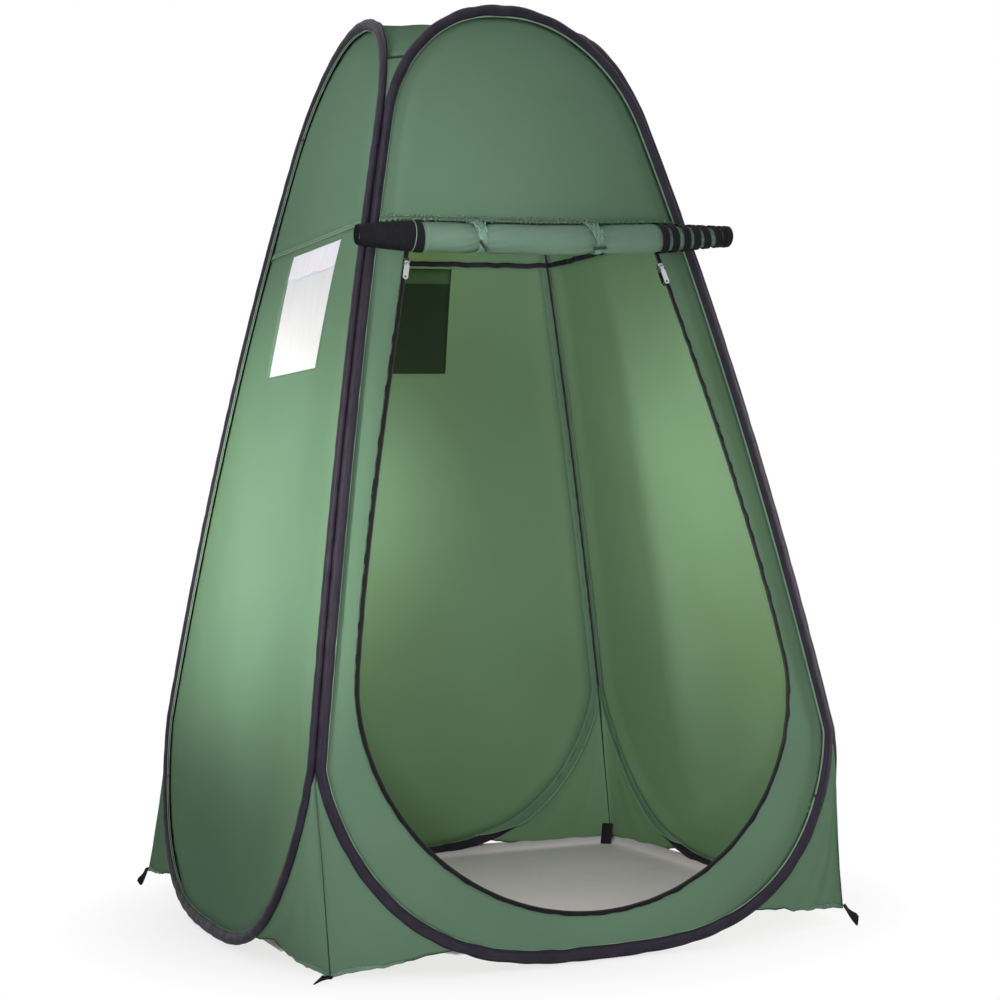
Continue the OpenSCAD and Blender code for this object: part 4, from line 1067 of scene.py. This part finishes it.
def ground_sheet():
    """A loose grey sheet inside the walls, its edges turned up a little against the rear and right walls:
    painted shade of the ground inside the tent.
    """
    ring = sheet_outline()
    ring = resampled(np.concatenate([ring, ring[:1]]), 193)[:-1]
    s = np.linspace(0, 1, 40)[:, None]
    x, y = ring[None, :, 0] * s, ring[None, :, 1] * s
    ripple = ripples(x * 0.8 + y * 0.3, 5, 12, 60, 3) * ripples(y * 0.7 - x * 0.2, 5, 12, 60, 5)
    rise = np.clip(0.0005 * (1 + ripple), 0, 0.0016) * (1 - s**6)
    # Painted shade: the edge turns up against the rear and right walls, covering the ground seen under their
    # hems.
    lee = np.clip((np.maximum(ring[:, 0], ring[:, 1]) - 0.50) / 0.08, 0, 1)
    turned_up = SHEET_TURN_UP * lee * np.clip((s - 0.96) / 0.04, 0, 1) ** 1.5
    grid = np.stack([x, y, SHEET_T / 2 + rise + turned_up], -1)
    size = (float(np.ptp(ring[:, 0])), float(np.ptp(ring[:, 1])))
    area = grid_area(np.concatenate([grid, grid[:, :1]], 1))
    cloth("ground_sheet_cloth", grid, PAINTED_SHADE_GREY, "ground_sheet", "grey_sheet", size, "laid", ["studio_floor"],
          0.0010, closed_cols=True, area=min(area, size[0] * size[1]))


# Doorway zip
TOOTH = {"pitch": 0.0032, "length": 0.0022, "width": 0.0030, "height": 0.0010}


def zip_points(line, depth):
    return on_wall(line[:, 0], line[:, 1], depth, "front", DOOR_EDGE)


def door_zip():
    """The tape that stays on the doorway, with a row of coil teeth on its free edge."""
    lines = [door_line(ZIP_W * u, 0.008) for u in (0.05, 0.3, 0.55, 0.8, 1.12)]
    count = min(len(line) for line in lines)
    lines = [resampled(line, count) for line in lines]
    lift = (0.0004, 0, 0, 0.0002, -0.0006)
    grid = np.stack([zip_points(line, CLOTH_T / 2 - h) for line, h in zip(lines, lift)], 1)
    cloth("door_zip_tape", grid, ZIP_TAPE, "door_zip", "zip_tape", (ZIP_W * 1.07, run_length(grid[:, 2])),
          "stretched", ["lower_panel_front"], 0.0012)
    edge = door_line(0.0016, 0.008)
    for side, label in ((-1, "outer"), (1, "inner")):
        line = zip_points(edge, CLOTH_T / 2 + side * 0.0006)
        out = np.tile([0, float(side), -0.2 * side], (len(line), 1))
        stitches(f"door_zip_teeth_{label}", [(line, out)], TOGGLE, slot="zip_tape", **TOOTH)
    sewn = zip_points(door_line(ZIP_W + 0.003, 0.008), -0.0002)
    out = np.tile([0, -1.0, 0.2], (len(sewn), 1))
    stitches("door_frame_stitches", [(sewn, out)], PALE_THREAD_AND_EDGE_HIGHLIGHT, slot="green_fabric", **FINE_STITCH)


# Rolled-up door
ROLL_Y, ROLL_Z, ROLL_R, ROLL_END_R, ROLL_CORE = -0.394947, 1.3954, 0.031, 0.019, 0.0075
ROLL_LEFT, ROLL_RIGHT, WRAP_LEFT, WRAP_RIGHT, WRAP_T = -0.388, 0.428, 0.136, 0.184, 0.0012
TIES, TIE_W, TIE_R, TIE_T, TIE_PINCH, TIE_SPREAD = (-0.135, 0.117), 0.016, 0.02675, 0.0015, 0.005, 0.026
ROLL_TURNS, WRAP_TURNS_LEFT, WRAP_TURNS_RIGHT, WRAP_LINE_X = 8, 11.2, 8.2, -0.276
STRIP_Z, STRIP_HALF = 1.4282, float(door_half(np.array(DOOR_TOP)))
WRAP_W_LEFT, WRAP_W_RIGHT, WRAP_LEAD, WRAP_PITCH = 0.0112, 0.0165, 1.2, 0.0125
TIE_LEAN, TIE_SEEDS = (-0.006, -0.014), (3, 8)
DOOR_FLAT, DOOR_AREA = (0.93, 1.33), 1.0


def roll_lift(x):
    """The roll's right end stands a little higher."""
    share = np.clip(x / ROLL_RIGHT, 0, 1)
    return 0.010 * share + 0.006 * share**2


def at_roll(points):
    return points + np.array([0, ROLL_Y, ROLL_Z]) + roll_lift(points[..., :1]) * [0, 0, 1.0]


def roll_plain(x):
    r = np.interp(x, [ROLL_LEFT, ROLL_LEFT + WRAP_LEFT, ROLL_RIGHT - WRAP_RIGHT, ROLL_RIGHT],
                  [ROLL_END_R, ROLL_R, ROLL_R, ROLL_END_R])
    return r - 0.008 * np.clip((x - ROLL_RIGHT) / 0.008 + 1, 0, 1) ** 3


def roll_radius(x, a):
    """The roll's outside: drawn in at the ties, with folds that run out of them, and slack between."""
    r = roll_plain(x)
    folds = 0.0004 * np.sin(3 * a + 9 * x)
    for k, tie in enumerate(TIES):
        near = (x - tie) / TIE_SPREAD
        beside_tie = np.exp(-(near / 2.2) ** 2) * (1 - np.exp(-(near / 0.42) ** 2))
        r = r - TIE_PINCH * np.exp(-near**2)
        waves = 0.0022 * np.sin(11 * a + 1.7 * near + k) + 0.0015 * np.sin(17 * a - near + 2 * k)
        folds = folds + beside_tie * waves
    bare = np.clip((x - ROLL_LEFT - WRAP_LEFT) / 0.02, 0, 1)
    crushed = np.clip((x - ROLL_RIGHT + WRAP_RIGHT) / 0.02, 0, 1)
    crushed = crushed * np.abs(np.sin(6 * a + 130 * x) * np.cos(4 * a - 90 * x + 1))
    return r - 0.0006 + folds * bare - 0.0005 * np.abs(np.sin(2.5 * a + 21 * x)) * bare - 0.0035 * crushed


def door_roll():
    x = np.linspace(ROLL_LEFT + WRAP_W_LEFT, ROLL_RIGHT - 0.003, 240)
    points = wound(x, roll_radius, ROLL_CORE, ROLL_TURNS, 36)
    # The roll is drawn in the darker copy of the cloth: painted shade in its folds.
    cloth("door_roll_cloth", at_roll(points), FOLD_SHADE_GREEN, "door_roll", "green_fabric", DOOR_FLAT, "folded",
          ["door_strip_cloth", "tie_left_band", "tie_right_band"], 0.0010, body="door", area=DOOR_AREA)


def door_strip():
    x = np.linspace(-STRIP_HALF, STRIP_HALF, 240)[None]
    u = np.linspace(0, 1, 10)[:, None]
    wall_y = float(-wall(STRIP_Z)) + 0.0002
    y = wall_y + (ROLL_Y - 0.002 - wall_y) * u + 0 * x
    fold = ripples(x, 6, 120, 420, 12)
    z = STRIP_Z + roll_lift(x) * u + 0.0005 + 0.0007 * fold * np.sin(pi * u) + 0.0012 * np.sin(pi * u)
    cloth("door_strip_cloth", np.stack([x + 0 * u, y, z], -1), GREEN, "door_strip", "green_fabric",
          (2 * STRIP_HALF, 0.04), "gathered", ["upper_panel_front"], 0.0008, body="door")


def left_edge(t):
    """Where the left edge of the left wrap's tape is after t turns: a plain ring first, then a helix."""
    return ROLL_LEFT + WRAP_PITCH * np.clip(t - WRAP_LEAD, 0, None)


def right_edge(t):
    return ROLL_RIGHT - WRAP_RIGHT + np.interp(t, [0, 6, 7, WRAP_TURNS_RIGHT], [0, 0.149, 0.1655, 0.1675])


def left_layers(t):
    """The first turns of the left wrap lie under the others."""
    return -0.0035 * np.clip(1 - t / WRAP_LEAD, 0, 1)


def right_layers(t):
    """The last turns of the right wrap lie on the others."""
    return 0.0012 * np.clip(t - 6.8, 0, 1)


def wrap(name, edge, turns, width, ribs, loose, layers):
    """The door's zip tape wound round an end of the roll. layers(t) lifts it where it lies on itself."""
    t = np.linspace(0, turns, int(turns * 44) + 1)[:, None]
    u = np.linspace(0, 1, 8 * ribs + 5)[None]
    a = 2 * pi * t
    wander = loose * (np.sin(a * 0.37 + 1) + 0.5 * np.sin(a * 1.3))
    x = edge(t) + width * u + wander
    rib = np.abs(np.sin(pi * ribs * u)) ** 0.7
    r = roll_plain(x) + CLEAR + WRAP_T * (0.3 + 0.65 * rib) + layers(t)
    points = round_x(x, r + loose * 0.3 * np.sin(3 * a + 40 * x), a)
    cloth(f"{name}_tape", at_roll(points), ZIP_TAPE, name, "zip_tape", (width, run_length(points[:, 4])),
          "folded", ["door_roll_cloth"], 0.0008, body="door")


def wrap_line(name, x, lean, radius):
    """A pale line of sewing round the left wrap."""
    a = np.linspace(0, 2 * pi, 80, endpoint=False)
    at = x + lean * np.sin(a)
    line = at_roll(round_x(at, roll_plain(at) + CLEAR + WRAP_T, a))
    tube_piece(name, line, radius, 6, PALE_THREAD_AND_EDGE_HIGHLIGHT, "door", closed=True)


def tie(name, x, lean):
    """A strip of the tent's cloth hung from the seam and gathered round the roll in sharp pleats."""
    a = np.linspace(0, 2 * pi, 132, endpoint=False)[None]
    u = np.linspace(-1, 1, 37)[:, None]
    high = 0.5 + 0.5 * np.sin(a)
    half = TIE_W / 2 * (0.85 + 0.6 * high**2)
    across = x + half * u + lean * (high - 0.35) + 0.0010 * np.sin(5 * a + 30 * x)
    pleat = np.abs(np.sin(pi * (2.1 * u + 0.30 * np.sin(2 * a + 1) + 0.22 * np.sin(5 * a + 3 * u))))
    r = TIE_R + TIE_T * 0.6 + 0.0030 * (pleat - 0.35) + 0.0007 * np.sin(9 * a + 5 * u)
    cloth(f"{name}_band", at_roll(round_x(across, r, a)), TIE_GREEN, name, "green_fabric",
          (TIE_W * 2.2, 2 * pi * TIE_R), "gathered", ["door_strip_cloth"], 0.0008, body="door",
          closed_cols=True)


def tie_gathers(name, x, lean, seed):
    """Sharp folds of a tie, drawn together where its toggle holds it."""
    draw = np.random.default_rng(seed)

    def wave(low, high):
        return np.sin(draw.uniform(low, high) * a + draw.uniform(0, 6))

    a = np.linspace(radians(62), radians(268), 40)
    spread = np.interp(np.degrees(a), [62, 120, 175, 205, 240, 268], [1.9, 1.5, 1.05, 0.45, 0.7, 1.0])
    high = 0.5 + 0.5 * np.sin(a)
    lines, radii = [], []
    for start in np.linspace(-1, 1, 9):
        across = x + TIE_W / 2 * start * spread + lean * (high - 0.35) + 0.0011 * wave(3, 7)
        r = TIE_R + spread * (0.0018 + 0.0013 * wave(4, 9))
        lines.append(at_roll(round_x(across, r, a)))
        radii.append(np.sqrt(spread) * (0.0014 + 0.0005 * wave(5, 11)))
    tubes_piece(f"{name}_gathers", lines, radii, 6, TIE_GREEN, "door")


# Stake loops
LOOP_TWIST = {"front_left": 42, "front_right": 58, "rear_left": 46, "rear_right": 0}
LOOP_W, LOOP_LEN, LOOP_H, LOOP_T, LOOP_FLAT, LOOP_ROOT = 0.020, 0.052, 0.016, 0.0020, 0.90, 0.6
INNER_LOOP_Z, INNER_LOOP_DROP = 0.044, 0.93


def stake_loop(corner):
    """A loop of webbing on its tip, a little twisted towards its free end."""
    inside = corner == "rear_right"
    reach = sqrt(2) * (FOOT_HALF - TIP_IN[corner])
    lift = TIP_LIFT[corner]
    r, run = LOOP_H / 2 - LOOP_T / 2, LOOP_LEN - LOOP_H
    a = np.linspace(pi / 2, 3 * pi / 2, 20)
    ring = np.concatenate([np.stack([r * np.cos(a), r * np.sin(a)], -1),
                           np.linspace([0, -r], [run, -r], 24)[1:-1],
                           np.stack([run - r * np.cos(a), -r * np.sin(a)], -1),
                           np.linspace([run, r], [0, r], 24)[1:-1]])
    share = np.clip(ring[:, 0] / run, 0, 1)[:, None]
    u = np.linspace(-1, 1, 7)[None]
    twist = radians(LOOP_TWIST[corner]) * share
    flat = ring[:, 1:2] * (1 - LOOP_FLAT * np.clip(0.8 + 2 * share, 0, 1))
    half = LOOP_W / 2 * (1.35 if inside else LOOP_ROOT + (1.15 - LOOP_ROOT) * share) * u
    high = flat * np.cos(twist) + half * np.sin(twist)
    side = half * np.cos(twist) - flat * np.sin(twist)
    drop = INNER_LOOP_DROP if inside else min(0.9, max(0.0, (lift - 0.004) / run))
    out = ring[:, :1] * sqrt(1 - drop**2) + 0 * u
    z = (INNER_LOOP_Z if inside else lift) + high - ring[:, :1] * drop
    z = z + LOOP_W / 2 * np.sin(twist) * share
    away = reach + (-1 if inside else 1) * (0.004 + 0 * u) + (-out - 0.026 if inside else out)
    heading = turned(CORNER_OUT, CORNERS[corner])
    across = np.array([-heading[1], heading[0], 0])
    points = away[..., None] * heading + side[..., None] * across
    points = points + np.maximum(z, 0.0009)[..., None] * [0, 0, 1]
    size = (LOOP_W * (1.3 if inside else 0.9), run_length(ring) + 0.002)
    body = f"stake_loop_{corner}"
    made = cloth(f"{body}_band", points, WEBBING, body, "black_webbing", size, "folded",
                 [f"base_gusset_{corner}_cloth"], LOOP_T * 0.85, None if inside else body, closed_rows=True)
    if inside:
        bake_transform(made)


# Finishes of the solids that stay
def finish_solids():
    for wall_name in TURNS:
        dress(f"hoop_wire_{wall_name}", STEEL)
    dress("hoop_ferrules", FERRULE, 0.0004)
    for side in ("left", "right"):
        dress(f"toggle_{side}", TOGGLE)
        dress(f"zip_slider_{side}", NICKEL, 0.0004)
        for face in ("outer", "inner"):
            dress(f"pull_{side}_{face}", NICKEL, 0.0003)


def dress(node, material, bevel=None):
    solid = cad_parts[node]
    solid.data.materials.clear()
    solid.data.materials.append(material)
    if bevel:
        edge = solid.modifiers.new("edges", "BEVEL")
        edge.width = bevel
        edge.segments = 2
        edge.limit_method = "ANGLE"
        edge.angle_limit = radians(40)


# Camera, floor and light
CAMERA_AT, YAW, PITCH, ROLL, LENS = (-1.699, -4.224, 0.888), 22.62, -0.14, -1.47, 75.53


def staged(name, data):
    """A new object of the studio."""
    made = bpy.data.objects.new(name, data)
    bpy.context.scene.collection.objects.link(made)
    return made


def set_camera():
    yaw, pitch, roll = radians(YAW), radians(PITCH), radians(ROLL)
    ahead = Vector((sin(yaw) * cos(pitch), cos(yaw) * cos(pitch), sin(pitch)))
    right = Vector((cos(yaw), -sin(yaw), 0))
    up = right.cross(ahead)
    right, up = right * cos(roll) + up * sin(roll), up * cos(roll) - right * sin(roll)
    data = bpy.data.cameras.new("photo_camera")
    data.lens = LENS
    camera = staged("photo_camera", data)
    camera.matrix_world = Matrix.Translation(CAMERA_AT) @ Matrix((right, up, -ahead)).transposed().to_4x4()
    bpy.context.scene.camera = camera


FLOOR_NEAR, FLOOR_FAR, FLOOR_HALF = 0.62, 0.92, 30
WORLD_LIGHT = 0.58
WHITE = (1.0, 1.0, 1.0)


def set_floor():
    """A white floor that keeps the tent's soft shadow and runs out into the white background."""
    s = Shader("studio_floor")
    s.surface(Base_Color=(0.95, 0.95, 0.95, 1.0), Roughness=0.9, Specular_IOR_Level=0.1)
    distance = s.add("ShaderNodeVectorMath", Vector=s.place)
    distance.operation = "LENGTH"
    fade = s.add("ShaderNodeMapRange", Value=distance.outputs["Value"], To_Min=0.7, To_Max=1.0)
    fade.inputs["From Min"].default_value, fade.inputs["From Max"].default_value = FLOOR_NEAR, FLOOR_FAR
    seen = s.add("ShaderNodeLightPath").outputs["Is Camera Ray"]
    glow = s.add("ShaderNodeEmission", Color=(*WHITE, 1.0), Strength=1.0)
    s.mixed(s.math("MULTIPLY", seen, fade.outputs["Result"]), glow)
    mesh = bpy.data.meshes.new("studio_floor")
    h = FLOOR_HALF
    mesh.from_pydata([(-h, -h, 0), (h, -h, 0), (h, h, 0), (-h, h, 0)], [], [(0, 1, 2, 3)])
    mesh.materials.append(s.material)
    staged("studio_floor", mesh)


def set_world(light):
    world = bpy.data.worlds.new("studio")
    bpy.context.scene.world = world
    world.use_nodes = True
    tree = world.node_tree
    plain = tree.nodes["Background"]
    plain.inputs["Color"].default_value = (*WHITE, 1.0)
    plain.inputs["Strength"].default_value = light
    white = tree.nodes.new("ShaderNodeBackground")
    white.inputs["Color"].default_value = (*WHITE, 1.0)
    path = tree.nodes.new("ShaderNodeLightPath")
    seen = path.outputs["Is Camera Ray"]
    for kind in ("Is Glossy Ray", "Is Transmission Ray"):
        either = tree.nodes.new("ShaderNodeMath")
        either.operation = "MAXIMUM"
        tree.links.new(seen, either.inputs[0])
        tree.links.new(path.outputs[kind], either.inputs[1])
        seen = either.outputs[0]
    mix = tree.nodes.new("ShaderNodeMixShader")
    tree.links.new(seen, mix.inputs[0])
    tree.links.new(plain.outputs[0], mix.inputs[1])
    tree.links.new(white.outputs[0], mix.inputs[2])
    tree.links.new(mix.outputs[0], tree.nodes["World Output"].inputs["Surface"])


def aimed(name, data, at, heading):
    """A lamp that the camera doesn't see."""
    light = staged(name, data)
    light.visible_camera = False
    light.matrix_world = Matrix.Translation(at) @ heading.to_track_quat("-Z", "Y").to_matrix().to_4x4()


def area_light(name, at, aim, size, power, tint=WHITE):
    """A soft rectangular light of size (width, height)."""
    data = bpy.data.lights.new(name, "AREA")
    data.shape = "RECTANGLE"
    data.size, data.size_y, data.energy, data.color = *size, power, tint
    aimed(name, data, at, Vector(aim) - Vector(at))


def spot_light(name, at, aim, radius, power, tint=WHITE):
    """A soft-edged round patch of light of a radius, where it is aimed."""
    heading = Vector(aim) - Vector(at)
    data = bpy.data.lights.new(name, "SPOT")
    data.energy, data.color, data.spot_blend, data.shadow_soft_size = power, tint, 1.0, 0.15
    data.spot_size = 2 * atan(radius / heading.length)
    aimed(name, data, at, heading)


WARM, GLOW = (1.0, 0.97, 0.90), (1.0, 1.0, 0.91)


def set_lights():
    area_light("overhead", (0, 0, 5.0), (0, 0, 0), (5.0, 5.0), 18)
    area_light("key", (-2.6, -4.4, 0.6), (0.0, -0.4, 0.8), (2.0, 1.6), 145)
    area_light("behind", (2.2, 3.0, 1.6), (0.2, 0.2, 0.8), (2.4, 2.4), 5)
    area_light("inside", (-0.22, -0.30, 0.80), (0.50, 0.22, 0.70), (0.5, 0.8), 6.5, WARM)
    spot_light("inside_rear", (0.30, -0.32, 0.85), (-0.40, 0.58, 0.85), 0.55, 60)
    spot_light("inside_right", (-0.32, -0.25, 0.90), (0.56, -0.36, 0.95), 0.55, 20)
    for name, y in (("left_glow_near", -0.24), ("left_glow_far", 0.24)):
        spot_light(name, (-3.0, -2.2, 0.95), (-0.57, y, 0.83), 0.57, 970, GLOW)
    spot_light("left_high", (-2.9, -0.9, 1.9), (-0.38, 0.0, 1.56), 0.55, 240)
    spot_light("upper_glow", (-1.6, -3.0, 1.0), (-0.18, -0.36, 1.50), 0.34, 300)
    spot_light("front_low", (-1.6, -4.4, 0.5), (0.05, -0.60, 0.28), 0.90, 270)
    spot_light("right_through", (3.0, -0.9, 0.9), (0.58, -0.36, 0.80), 0.66, 420, WARM)
    spot_light("rear_high", (0.0, 3.0, 1.7), (-0.12, 0.40, 1.47), 0.30, 800, WARM)
    spot_light("rear_through", (0.1, 3.0, 0.7), (-0.36, 0.58, 0.78), 0.66, 420, WARM)


def build():
    for name in TURNS:
        sleeve(name)
        facing(name)
        upper_panel(name)
        seam_strap(name)
        seam_welt(name, **(FRONT_WELT if name == "front" else PLAIN_WELT))
    door_panel()
    for name in ("left", "rear", "right"):
        plain_panel(name)
    for name in ("left", "rear"):
        window_mesh(name)
    rear_flap()
    left_flap()
    for corner in CORNERS:
        base_gusset(corner)
        top_gusset(corner)
        corner_seam(corner)
        stake_loop(corner)
    roof()
    ground_sheet()
    door_zip()
    door_strip()
    for name, x, lean in zip(("tie_left", "tie_right"), TIES, TIE_LEAN):
        tie(name, x, lean)
    for name, x, lean, seed in zip(("tie_left", "tie_right"), TIES, TIE_LEAN, TIE_SEEDS):
        tie_gathers(name, x, lean, seed)
    door_roll()
    wrap("door_wrap_left", left_edge, WRAP_TURNS_LEFT, WRAP_W_LEFT * 1.12, 2, 0.0, left_layers)
    wrap("door_wrap_right", right_edge, WRAP_TURNS_RIGHT, WRAP_W_RIGHT, 2, 0.0010, right_layers)
    wrap_line("door_wrap_left_line", WRAP_LINE_X, 0.002, 0.0008)
    wrap_line("door_wrap_left_hem", ROLL_LEFT + WRAP_LEFT + 0.0008, 0.0, 0.0006)
    finish_solids()


set_camera()
set_floor()
set_world(WORLD_LIGHT)
set_lights()
bpy.context.scene.view_settings.view_transform = "Standard"
build()
